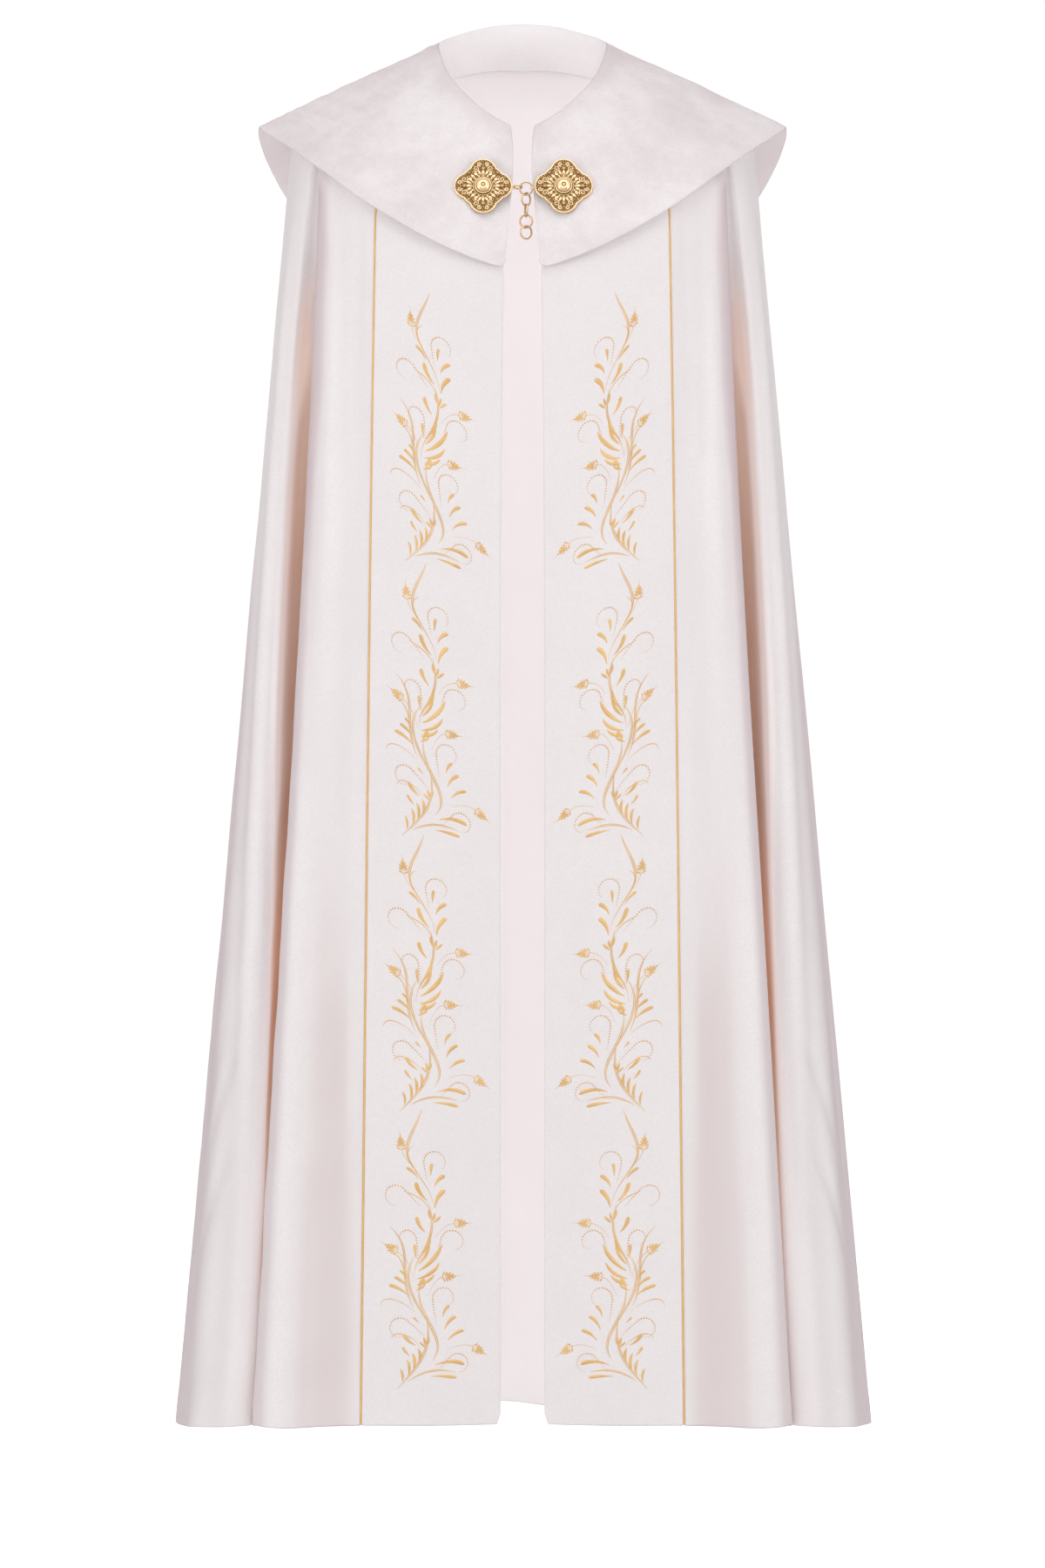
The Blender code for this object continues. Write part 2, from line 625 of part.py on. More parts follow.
def build_plaque(side, x):
    """One quatrefoil plaque and the domed boss at its middle; returns its world matrix."""
    frame = plaque_frame(x)
    plate = extruded_plate("clasp_plaque_" + side, plaque_outline(), GOLD_METAL)
    plate.matrix_world = frame
    profile = [(BOSS_RADIUS, 0.0)]
    profile += [(BOSS_RADIUS * math.sqrt(1.0 - t * t), BOSS_RIM + t * BOSS_RISE) for t in BOSS_LEVELS]
    turns = np.arange(BOSS_SEGMENTS) * math.tau / BOSS_SEGMENTS
    rings = []
    for radius, height in profile:
        rings.append(np.stack((radius * np.cos(turns), radius * np.sin(turns),
                               np.full(BOSS_SEGMENTS, height)), axis=1) * MM)
    boss = tube("clasp_boss_" + side, rings, GOLD_METAL)
    boss.matrix_world = frame @ Matrix.Translation((0.0, 0.0, PLAQUE_WALL * MM + SEAM_GAP))
    return plate, frame


def round_link(half_straight, radius, count):
    """Points of a link in the XZ plane: two straights and round ends, or a plain circle."""
    turns = (np.arange(count) + 0.5) * math.tau / count
    x = radius * np.cos(turns) + half_straight * np.sign(np.cos(turns))
    return np.stack((x, np.zeros(count), radius * np.sin(turns)), axis=1)


def turned_about(points, axis, degrees):
    """Points turned about an axis through the origin."""
    turn = np.array(Matrix.Rotation(math.radians(degrees), 3, axis))
    return points @ turn.T


def build_clasp():
    """The two plaques, the link between them and the tail of rings."""
    left_plate, left_frame = build_plaque("left", PLAQUE_LEFT_X)
    right_plate, right_frame = build_plaque("right", PLAQUE_RIGHT_X)
    reach = PLAQUE_LOBE_REACH + PLAQUE_LOBE_RADIUS
    middle = PLAQUE_WALL / 2.0

    eye_centre = np.array(left_frame @ (Vector((reach + EYE_STANDS_OFF, -EYE_DROP, middle)) * MM))
    eye = tube("eye_cutter", wire_rings(round_link(0.0, EYE_RADIUS, EYE_SEGMENTS) * MM + eye_centre,
                                        EYE_WIRE * MM, WIRE_SIDES, True), GOLD_METAL, True)
    fuse(left_plate, eye)

    ring_centre = np.array((RING_1_X * MM, eye_centre[1], eye_centre[2] - RING_DROP * MM))
    build_rings(ring_centre)
    ring_side = math.sqrt(RING_RADIUS**2 - RING_DROP**2)
    link_right = ring_centre[0] - (ring_side - RING_WIRE - LINK_WIRE - LINK_PLAY) * MM
    link_left = eye_centre[0] + (EYE_RADIUS - EYE_WIRE - LINK_WIRE - LINK_PLAY) * MM
    link_centre = np.array(((link_left + link_right) / 2.0, eye_centre[1], eye_centre[2]))
    half_straight = (link_right - link_left) / 2.0 / MM - LINK_HALF_HEIGHT
    link = turned_about(round_link(half_straight, LINK_HALF_HEIGHT, LINK_SEGMENTS), "X", LINK_TILT)
    tube("clasp_link", wire_rings(link * MM + link_centre, LINK_WIRE * MM, WIRE_SIDES, True),
         GOLD_METAL, True)

    edge = np.array(right_frame @ (Vector((-reach, -RING_DROP - EYE_DROP, middle)) * MM))
    hook = tube("hook_cutter", wire_rings(hook_line(edge, ring_centre), HOOK_WIRE * MM,
                                          WIRE_SIDES, False), GOLD_METAL)
    fuse(right_plate, hook)


def hook_line(edge, ring_centre):
    """Middle line of the right plaque's hook: behind the first ring, through it, and back."""
    inside = ring_centre[0] + (RING_RADIUS - RING_WIRE - HOOK_WIRE - LINK_PLAY) * MM
    behind = (RING_WIRE + HOOK_WIRE + LINK_PLAY) * MM
    x, y, z = inside + behind, ring_centre[1], ring_centre[2]
    line = [(edge[0] + HOOK_ROOT * MM, edge[1], z), (x, y + behind, z)]
    for degrees in HOOK_TURNS:
        angle = math.radians(degrees)
        line.append((x + behind * math.cos(angle), y + behind * math.sin(angle), z))
    line.append((x + HOOK_TAIL * MM, y - behind, z))
    return np.array(line)


def build_rings(centre):
    """The ring that is hooked up, and the four that hang from it, each in the one above."""
    pitch = (2.0 * (RING_RADIUS - RING_WIRE) - RING_PLAY) * MM
    for number, twist in enumerate(RING_TWISTS, start=1):
        shape = turned_about(round_link(0.0, RING_RADIUS, RING_SEGMENTS), "Z", twist) * MM
        pivot = centre.copy()
        if number > 1:
            pivot[2] = centre[2] + pitch - RING_RADIUS * MM
        rings = wire_rings(shape + centre - pivot, RING_WIRE * MM, WIRE_SIDES, True)
        ring = tube("clasp_ring_%d" % number, rings, GOLD_METAL, True)
        ring.location = Vector(pivot)
        centre = centre - (0.0, 0.0, pitch)


def build_cope():
    """The whole cloak."""
    for obj in list(bpy.data.objects):
        bpy.data.objects.remove(obj)
    build_mantle_and_bands()
    build_collar()
    build_neck_facing()
    build_clasp()


build_cope()
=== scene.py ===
"""Cope: the satin, embroidery, gold cord and gilt clasp of a ceremonial cloak as it is worn.

Metres, +Z up, -Y to the front and +X to the viewer's right.  "left" and "right" in names
are the viewer's.  The origin is the middle of the neck base.  The tables are in
millimetres and degrees.  A bearing is an angle seen from above: 0 at the front, 90 at the
right shoulder, 180 at the centre back and 270 at the left shoulder.
"""

import logging
import math
from dataclasses import dataclass, field
from enum import Enum
from functools import cached_property
from typing import NamedTuple, Sequence

import bpy
import numpy as np
from mathutils import Matrix, Vector


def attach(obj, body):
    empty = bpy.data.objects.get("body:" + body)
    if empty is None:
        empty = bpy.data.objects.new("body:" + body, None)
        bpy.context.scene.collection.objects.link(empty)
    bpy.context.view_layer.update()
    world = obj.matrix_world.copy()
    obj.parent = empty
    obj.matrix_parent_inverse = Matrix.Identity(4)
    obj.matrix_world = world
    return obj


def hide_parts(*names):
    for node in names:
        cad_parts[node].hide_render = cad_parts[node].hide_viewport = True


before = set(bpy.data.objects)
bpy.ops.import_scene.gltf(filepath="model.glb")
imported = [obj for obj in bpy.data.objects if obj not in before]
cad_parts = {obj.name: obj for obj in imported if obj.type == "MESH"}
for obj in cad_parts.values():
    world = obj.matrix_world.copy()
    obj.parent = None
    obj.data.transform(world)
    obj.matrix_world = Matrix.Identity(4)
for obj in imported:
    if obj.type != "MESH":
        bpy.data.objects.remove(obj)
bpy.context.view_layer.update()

LOG = logging.getLogger("cope")
Array = np.ndarray
Colour = tuple[float, float, float]
Material, Object, Node = bpy.types.Material, bpy.types.Object, bpy.types.Node
Socket, NodeTree = bpy.types.NodeSocket, bpy.types.NodeTree
MM = 0.001
ROOT = "root"


# --- tables: the shoulder form and the cloak's section
class Track(NamedTuple):
    """A line that the cloth follows from the neck seam over the shoulder to the hem."""

    name: str
    neck: float
    turn_x: float
    turn_y: float
    turn: float
    hem_x: float
    hem_y: float
    hem_z: float
    bow_x: float
    bow_y: float


# bearing, radius and height of the neck seam and of the collar's outer edge
NECK_SEAM = ((0, 106, -65), (21, 103, -49), (36, 101, -29), (50, 99, -9), (65, 94, 11),
             (85, 90, 30.5), (103, 87, 37.5), (123, 83, 45.5), (152, 75, 56), (180, 72, 59))
COLLAR_EDGE_FRONT = ((0, 151, -215), (7, 151.5, -213), (30, 180, -187), (48, 210, -148.5),
                     (64, 240, -104), (74, 252, -83), (86, 278.5, -57))
COLLAR_EDGE_BACK = ((86, 278.5, -57), (98, 279, -74), (104.5, 279, -90), (111.5, 274.5, -117),
                    (125, 251, -185), (144, 213, -240), (162, 190, -262), (180, 182, -268))
# bearing, and how far the collar swells out there
COLLAR_SWELL = ((0, 2.5), (60, 3.0), (86, 1.5), (120, 4.0), (180, 7.0))
# bearing, and how far under the form the mantle lies, at the seam and over the yoke
SEAM_LIFT = ((0, 2.9), (60, 2.9), (80, 3.2), (100, 3.9), (150, 3.6), (180, 3.2))
YOKE_LIFT = ((0, 3.4), (60, 3.6), (75, 5.0), (125, 5.5), (150, 4.5), (180, 4.5))
YOKE_START, LIFT_GROWS_OVER = 0.03, 0.15
SWELL_PEAK, BOW_PEAK = 4.0, 6.75    # these bring a swell's and a bow's fullest to one
TIP_BEARING = 86.0

FRONT_TRACKS = (
    Track("front_edge", 9.8, 20.5, -148, 26, 23.5, -216, -1410, 2, 0),
    Track("band_middle", 36, 87, -150, 26, 95, -229, -1410.5, 1, 0),
    Track("piping", 60, 153, -136, 24, 166.5, -227, -1410.5, 1, 0),
    Track("panel_trough", 66, 180, -121, 20, 205, -219, -1412, 0, 0),
    Track("panel_ridge", 70, 199, -113, 18, 242, -224, -1413.5, -3, 0),
    Track("lip_front", 72, 208, -111, 14, 266, -214, -1413, -4.5, 0),
    Track("lip", 73, 212.5, -106, 12, 277.5, -201, -1412, -4.5, 0),
    Track("lip_back", 74, 212.5, -101, 12, 277.5, -186, -1414, -4.5, 3),
    Track("fold_wall_in", 75, 209, -94, 12, 270, -148, -1414, -3, 8),
    Track("fold_bottom_in", 76, 206.5, -88, 12, 264, -112, -1414, -1, 12),
    Track("fold_bottom", 77, 208, -83.5, 12, 270.5, -99, -1414, 2, 12),
    Track("fold_bottom_out", 78, 213, -82, 12, 279, -112, -1414, 6, 11),
    Track("fold_wall_out", 79, 219, -82, 14, 281.5, -150, -1413.5, 9.5, 6),
    Track("roll_edge", 80, 225, -78.5, 16, 285, -180, -1414, 9.5, 2),
    Track("roll_front", 81.5, 232, -68, 20, 305, -180, -1415.5, 6, 0),
    Track("roll_middle", 84, 240, -38, 30, 341, -128, -1420, 2, 0),
    Track("roll_side", 86, 243, -16, 34, 359.5, -62, -1423, 0, 0),
    Track("side", 89, 243.5, 6, 36, 366, 8, -1426, 0, 0),
)
# bearing of each valley and ridge of the back, and its depth at the turn and at the hem
BACK_FOLDS = (
    (101, -3, -34), (113, 2, 22), (124, -4, -36), (137, 3, 26), (148, -3, -28), (159, 3, 30),
    (171, -4, -40), (184, 3, 30), (196, -3, -30), (207, 3, 24), (220, -4, -38), (232, 2, 28),
    (244, -3, -30), (256, 1, 12))
BACK_TURN_SHARE, BACK_TURN = 0.82, 36
BACK_HEM_HALF_WIDTH, BACK_HEM_DEPTH, BACK_HEM_HEIGHT = 366, 300, -1429

# share of the way down the collar, and half the gap between its front edges there
COLLAR_FRONT_EDGE = ((0.0, 13.0), (0.12, 11.2), (0.38, 10.6), (0.60, 13.6), (0.85, 17.2),
                     (1.0, 18.6))
COLLAR_BEARINGS = (8.0, 8.6, 9.5, 11.0, 15.0, 23.0, 31.0, 39.0, 47.0, 55.0, 63.0, 70.0, 76.0,
                   81.0, 84.0, TIP_BEARING, 88.0, 91.0, 96.0, 103.0, 111.5, 121.0, 132.0,
                   144.0, 156.0, 168.0, 180.0)
FRONT_EDGE_FADES_BY = 31.0
# the collar's front corners: how round they are, and how far from the middle
COLLAR_CORNER, COLLAR_CORNER_REACH = 7.0, 151.5

# bearing, how far the facing stands inside the neck seam and how deep it is
FACING = ((0, 3.1, 16), (45, 2.7, 24), (80, 2.2, 40), (180, 2.4, 50))
FACING_FRONT_BEARING = 9.5


class Side(Enum):
    """Which half of the cloak, as the viewer sees it."""

    LEFT = -1
    RIGHT = 1

    @property
    def word(self) -> str:
        """The side's word in piece names."""
        return self.name.lower()


# --- curves and grids
def smooth_through(knots: Sequence[float], values: Sequence, places: Array,
                   flat_ends: bool = False) -> Array:
    """Read a cubic through (knots, values); each slope comes from the two neighbours.

    Args:
        knots: Increasing places, K of them.
        values: K values or K rows of values.
        places: Where to read, of any shape.
        flat_ends: Whether the slope at both ends is nought.

    Returns:
        The values at the places: the places' shape, with the row's columns after it.
    """
    knots, values = np.asarray(knots, float), np.asarray(values, float)
    places = np.asarray(places, float)
    steps = np.diff(knots)
    chords = (np.diff(values, axis=0).T / steps).T
    slopes = np.empty_like(values)
    before, after = steps[:-1], steps[1:]
    slopes[1:-1] = ((chords[:-1].T * after + chords[1:].T * before) / (before + after)).T
    slopes[0], slopes[-1] = (0.0, 0.0) if flat_ends else (chords[0], chords[-1])
    i = np.clip(np.searchsorted(knots, places, side="right") - 1, 0, len(steps) - 1)
    h, t = steps[i], (places - knots[i]) / steps[i]
    if values.ndim > 1:
        h, t = h[..., None], t[..., None]
    return between(t, h, values[i], slopes[i], values[i + 1], slopes[i + 1])


def between(t: Array, reach: Array | float, start: Array, start_slope: Array, end: Array,
            end_slope: Array) -> Array:
    """Read a cubic between two ends.

    Args:
        t: 0 at the start to 1 at the end.
        reach: What the slopes are per.
        start: Value at the start.
        start_slope: Slope there.
        end: Value at the end.
        end_slope: Slope there.

    Returns:
        The values at t.
    """
    return ((2 * t**3 - 3 * t**2 + 1) * start + (t**3 - 2 * t**2 + t) * reach * start_slope
            + (3 * t**2 - 2 * t**3) * end + (t**3 - t**2) * reach * end_slope)


def smooth_rows(table: Sequence, places: Array, flat_ends: bool = False) -> Array:
    """Read rows of values smoothly; a row's first number is its place."""
    rows = np.array(table)
    return smooth_through(rows[:, 0], rows[:, 1:], places, flat_ends)


def straight(table: Sequence, places: Array) -> Array:
    """Read a table of places and values, straight between its rows."""
    return np.interp(places, *zip(*table))


def full_turn(count: int, first: float = 0.0) -> Array:
    """Evenly spaced angles round a full turn, the first moved on by a share of a step."""
    return (np.arange(count) + first) * math.tau / count


def unit(vectors: Array) -> Array:
    """The vectors of the last axis, each made one long."""
    return vectors / np.maximum(np.linalg.norm(vectors, axis=-1, keepdims=True), 1e-12)


def smooth_step(values: Array, low: float, high: float) -> Array:
    """Nought below low, one above high, and a soft rise between them."""
    t = np.clip((np.asarray(values, float) - low) / (high - low), 0.0, 1.0)
    return t * t * (3.0 - 2.0 * t)


def grid_normals(grid: Array) -> Array:
    """Unit normals of a grid of points, from its neighbours down and across."""
    return unit(np.cross(np.gradient(grid, axis=0), np.gradient(grid, axis=1)))


def lengths_across(grid: Array) -> Array:
    """Distance along each row of a grid, from its first column."""
    steps = np.linalg.norm(np.diff(grid, axis=1), axis=2)
    return np.concatenate((np.zeros((len(grid), 1)), np.cumsum(steps, axis=1)), axis=1)


def with_edge_rows(grid: Array, distance: float) -> Array:
    """Add a row and a column just inside each border, so that its edge shades crisply.

    Args:
        grid: Rows by columns of points.
        distance: How far inside the border the added ones lie, in metres.

    Returns:
        The grid with two more rows and two more columns.
    """
    for _ in range(2):
        first, second, last, former = grid[0], grid[1], grid[-1], grid[-2]
        head, tail = (border + unit(inner - border) * np.minimum(
            distance, 0.45 * np.linalg.norm(inner - border, axis=-1, keepdims=True))
            for border, inner in ((first, second), (last, former)))
        grid = np.concatenate((first[None], head[None], grid[1:-1], tail[None], last[None]))
        grid = grid.transpose(1, 0, 2)
    return grid


def depth_in_outline(points: Array) -> Array:
    """How deep each point of a plan lies inside the plan's taut outline.

    Args:
        points: Plan points in metres, N by 2.

    Returns:
        N distances in metres, nought on the outline.
    """
    order = points[np.lexsort((points[:, 1], points[:, 0]))]

    def chain(row: Array) -> list:
        """The taut chain along one side of the points.

        Args:
            row: The points in order.

        Returns:
            The chain's points, without the last.
        """
        made: list = []
        for p in row:
            while len(made) > 1:
                a, b = made[-2], made[-1]
                if (b[0] - a[0]) * (p[1] - a[1]) - (b[1] - a[1]) * (p[0] - a[0]) > 0:
                    break
                made.pop()
            made.append(p)
        return made[:-1]

    ring = np.array(chain(order) + chain(order[::-1]))
    edges = np.roll(ring, -1, axis=0) - ring
    inward = unit(np.stack((-edges[:, 1], edges[:, 0]), axis=1))
    away = np.einsum("nek,ek->ne", points[:, None] - ring[None], inward)
    return np.clip(away.min(axis=1), 0.0, None)


# --- the shoulder form and the cloak's section
class ShoulderForm:
    """The surface that the collar lies on, from the neck seam to the collar's edge."""

    @staticmethod
    def half_bearing(bearings: Array) -> Array:
        """The bearings mirrored into the right half, 0 to 180."""
        turned = np.asarray(bearings, float) % 360.0
        return np.where(turned > 180.0, 360.0 - turned, turned)

    def neck(self, bearings: Array) -> Array:
        """Radius and height of the neck seam, in metres."""
        return smooth_rows(NECK_SEAM, self.half_bearing(bearings), True) * MM

    def edge(self, bearings: Array) -> Array:
        """Radius and height of the collar's outer edge.

        Args:
            bearings: Where to read it, of any shape.

        Returns:
            The bearings' shape by two, in metres.
        """
        half = self.half_bearing(bearings)
        low = smooth_rows(COLLAR_EDGE_FRONT, np.minimum(half, TIP_BEARING))
        high = smooth_rows(COLLAR_EDGE_BACK, np.maximum(half, TIP_BEARING))
        return np.where((half <= TIP_BEARING)[..., None], low, high) * MM

    def point(self, bearings: Array, shares: Array) -> Array:
        """Points of the form.

        Args:
            bearings: Bearings of the points.
            shares: 0 at the neck seam to 1 at the collar's edge.

        Returns:
            The points in metres.
        """
        bearings, shares = np.broadcast_arrays(np.asarray(bearings, float),
                                               np.asarray(shares, float))
        neck, edge = self.neck(bearings), self.edge(bearings)
        radius, height = np.moveaxis(neck + (edge - neck) * shares[..., None], -1, 0)
        swell = straight(COLLAR_SWELL, self.half_bearing(bearings)) * MM
        height = height + SWELL_PEAK * swell * shares * (1.0 - shares)
        angle = np.radians(bearings)
        return np.stack((radius * np.sin(angle), -radius * np.cos(angle), height), axis=-1)

    def normal(self, bearings: Array, shares: Array) -> Array:
        """Outward unit normals of the form.

        Args:
            bearings: Bearings of the points.
            shares: 0 at the neck seam to 1 at the collar's edge.

        Returns:
            The normals.
        """
        across = self.point(bearings + 2.5, shares) - self.point(bearings - 2.5, shares)
        down = self.point(bearings, shares + 0.03) - self.point(bearings, shares - 0.03)
        return unit(np.cross(down, across))

    def under(self, bearings: Array, shares: Array) -> Array:
        """Points of the mantle's middle surface under the collar.

        Args:
            bearings: Bearings of the points.
            shares: 0 at the neck seam to 1 at the collar's edge.

        Returns:
            The points in metres.
        """
        half = self.half_bearing(bearings)
        seam, yoke = (straight(table, half) * MM for table in (SEAM_LIFT, YOKE_LIFT))
        grown = np.clip((shares - YOKE_START) / (LIFT_GROWS_OVER - YOKE_START), 0.0, 1.0)
        lift = seam + (yoke - seam) * grown
        return self.point(bearings, shares) - lift[..., None] * self.normal(bearings, shares)

    def place_of(self, x: Array, y: Array) -> tuple[Array, Array]:
        """Where on the form plan positions lie.

        Args:
            x: Distances to the right, in metres.
            y: Distances to the back.

        Returns:
            Their bearings and shares.
        """
        bearings = np.degrees(np.arctan2(x, -y)) % 360.0
        neck, edge = self.neck(bearings)[..., 0], self.edge(bearings)[..., 0]
        return bearings, (np.hypot(x, y) - neck) / (edge - neck)


@dataclass
class CloakSection:
    """The cloth's section, read as a smooth curve through the tracks at every height."""

    form: ShoulderForm
    yoke_rows: int = 9
    turn_rows: int = 6
    fall_rows: int = 118
    tracks: list[Track] = field(init=False)
    knots: Array = field(init=False)
    values: Array = field(init=False)

    def __post_init__(self) -> None:
        """Work out the knots from the tracks' spacing at the hem."""
        left = [t._replace(neck=360.0 - t.neck, turn_x=-t.turn_x, hem_x=-t.hem_x,
                           bow_x=-t.bow_x) for t in reversed(FRONT_TRACKS)]
        back = [self.back_track(*fold) for fold in BACK_FOLDS]
        self.tracks = list(FRONT_TRACKS) + back + left
        hems = np.array([(t.hem_x, t.hem_y) for t in self.tracks])
        spacing = np.sqrt(np.linalg.norm(np.diff(hems, axis=0), axis=1))
        self.knots = np.concatenate(((0.0,), np.cumsum(spacing)))
        self.values = np.array([t[1:] for t in self.tracks], float)

    def back_track(self, bearing: float, turn_depth: float, hem_depth: float) -> Track:
        """The track of a fold of the back.

        Args:
            bearing: The fold's bearing.
            turn_depth: How far it stands out where the cloth turns down, in millimetres.
            hem_depth: How far it stands out at the hem.

        Returns:
            The track.
        """
        angle = math.radians(bearing)
        aim = np.array((math.sin(angle), -math.cos(angle)))
        neck, edge = (loop(bearing)[0] / MM for loop in (self.form.neck, self.form.edge))
        turn = aim * (neck + BACK_TURN_SHARE * (edge - neck) + turn_depth)
        reach = 1.0 / math.hypot(aim[0] / BACK_HEM_HALF_WIDTH, aim[1] / BACK_HEM_DEPTH)
        hem = aim * (reach + hem_depth)
        return Track("back_fold", bearing, *turn, BACK_TURN, *hem, BACK_HEM_HEIGHT, 0, 0)

    def knot(self, name: str, side: Side = Side.RIGHT) -> float:
        """Place of the named front track on a side."""
        found = [i for i, t in enumerate(self.tracks) if t.name == name]
        return float(self.knots[found[0 if side is Side.RIGHT else -1]])

    def place(self, steps: Array) -> Array:
        """Places of tracks given by their numbers, with parts of a step between tracks."""
        return np.interp(steps, np.arange(len(self.knots)), self.knots)

    def places(self, start: float, end: float, spacing: float, fewest: int) -> Array:
        """Column places from start to end, about evenly spaced at the hem.

        Args:
            start: First place.
            end: Last place.
            spacing: Distance between columns at the hem, in millimetres.
            fewest: Least number of columns between two tracks.

        Returns:
            The places, both ends included.
        """
        found: list[float] = []
        for a, b in zip(self.knots[:-1], self.knots[1:]):
            if a < start - 1e-6 or b > end + 1e-6:
                continue
            count = max(fewest, round((b - a) ** 2 / spacing))
            found += list(np.linspace(a, b, count, endpoint=False))
        return np.array(found + [end])

    def surface(self, places: Array) -> Array:
        """Points of the cloth's middle surface, from the neck seam down to the hem.

        Args:
            places: Places along the section, one for each column.

        Returns:
            Rows by columns of points.
        """
        values = smooth_through(self.knots, self.values, places).T
        neck, turn_x, turn_y, turn, hem_x, hem_y, hem_z, bow_x, bow_y = values
        bearing, share = self.form.place_of(turn_x * MM, turn_y * MM)
        corner = self.form.under(bearing, share)
        top = self.form.under(neck, np.full_like(neck, YOKE_START))
        reach = 1.0 - turn * MM / np.linalg.norm(corner - top, axis=1)
        k = np.linspace(0.0, 1.0, self.yoke_rows)[:, None] * reach[None]
        yoke = self.form.under(neck + (bearing - neck) * k, YOKE_START + (share - YOKE_START) * k)
        hem = np.stack((hem_x, hem_y, hem_z), axis=1) * MM
        fall = hem - corner
        first = corner + unit(fall) * turn[:, None] * MM
        t = np.linspace(0.0, 1.0, self.turn_rows + 2)[1:-1, None, None]
        bend = (1 - t)**2 * yoke[-1] + 2 * t * (1 - t) * corner + t * t * first
        bow = np.stack((bow_x, bow_y, np.zeros_like(bow_x)), axis=1) * MM
        f = np.linspace(0.0, 1.0, self.fall_rows)[:, None, None]
        drop = first + (hem - first) * f + bow * BOW_PEAK * f * (1.0 - f)**2
        return np.concatenate((yoke, bend, drop))


# --- creases and undulations
class Crease(NamedTuple):
    """A soft ridge or trough that runs down the cloth.

    step and end_step are track numbers, with parts; width and depth are in millimetres,
    and a trough's depth is below nought; top and bottom are heights in millimetres.
    """

    step: float
    end_step: float
    width: float
    depth: float
    top: float
    bottom: float


@dataclass(frozen=True)
class Undulation:
    """Long, shallow, uneven waves, the same each time for a seed."""

    seed: int
    across: tuple[float, float]
    along: tuple[float, float]
    depth: float
    waves: int = 12

    def at(self, across: Array, along: Array) -> Array:
        """Depth of the waves.

        Args:
            across: Distances across the cloth, in metres.
            along: Distances down it.

        Returns:
            Distances outward, in metres.
        """
        draw = np.random.default_rng(self.seed)
        total = np.zeros_like(across)
        for _ in range(self.waves):
            wide, long = draw.uniform(*self.across) * MM, draw.uniform(*self.along) * MM
            phase, lean = draw.uniform(0, math.tau), draw.uniform(-1.0, 1.0)
            total += np.sin(math.tau * (across / wide + lean * along / long) + phase)
        return total * self.depth * MM / math.sqrt(self.waves)


# --- mesh making
BEAD_SIDES, BEAD_ROWS = 8, 4


@dataclass
class Pieces:
    """Points, faces and point values gathered for one mesh."""

    points: list[Array] = field(default_factory=list)
    faces: list[list[int]] = field(default_factory=list)
    values: list[Array] = field(default_factory=list)
    count: int = 0

    def add(self, points: Array, faces: Sequence, values: Array | None = None) -> None:
        """Take in a patch.

        Args:
            points: N points.
            faces: Faces, each a row of point numbers.
            values: N rows of two numbers kept with the points, or none.
        """
        self.points.append(points)
        self.faces += [[corner + self.count for corner in face] for face in faces]
        self.values.append(np.zeros((len(points), 2)) if values is None else values)
        self.count += len(points)

    def tube(self, rings: Array, closed: bool = False, values: Array | None = None) -> None:
        """Add a tube, capped unless it closes on itself.

        Args:
            rings: Rings by sides of points.
            closed: Whether the last ring joins the first.
            values: Two numbers kept with each point, or none.
        """
        count, sides = rings.shape[:2]
        faces = grid_faces(count, sides, closed=True).tolist()
        last = (count - 1) * sides
        if closed:
            faces += [[last + s, last + (s + 1) % sides, (s + 1) % sides, s]
                      for s in range(sides)]
        for start in () if closed else (0, last):
            faces.append([start, start + 1, start + sides - 1])
            for s in range(1, (sides + 1) // 2):
                a, b = start + s, start + sides - s
                if a + 1 < b:
                    faces.append([a, a + 1, b - 1, b] if a + 1 < b - 1 else [a, a + 1, b])
        self.add(rings.reshape(-1, 3), faces, values)

    def bead(self, centre: Array, radius: float, bright: float) -> None:
        """Add a round bead.

        Args:
            centre: Its middle, in metres.
            radius: In metres.
            bright: How bright it is.
        """
        polar = np.linspace(0.02, math.pi - 0.02, BEAD_ROWS + 1)[:, None]
        turns = full_turn(BEAD_SIDES)[None]
        ball = np.stack((np.sin(polar) * np.cos(turns), np.sin(polar) * np.sin(turns),
                         np.cos(polar) * np.ones_like(turns)), axis=-1)
        self.tube(ball * radius + centre, values=np.full((ball[..., 0].size, 2), bright))

    def profile(self, outline: Array, rows: Sequence) -> None:
        """Add a solid whose rows repeat an outline.

        Args:
            outline: Points x, y.
            rows: For each row what scales the outline, its height and how bright it is.
        """
        rings = np.array([np.column_stack((outline * size, np.full(len(outline), z)))
                          for size, z, _ in rows]) * MM
        values = np.repeat([[bright, bright] for *_, bright in rows], len(outline), axis=0)
        self.tube(rings, values=values)

    def make(self, name: str, finish: Material, kept: str = "thread") -> Object:
        """Make the object.

        Args:
            name: The piece's name.
            finish: Its material.
            kept: Name of the layer that holds the points' values.

        Returns:
            The new object, linked to the scene.
        """
        return new_object(name, np.concatenate(self.points), self.faces, finish,
                          {kept: np.concatenate(self.values)})


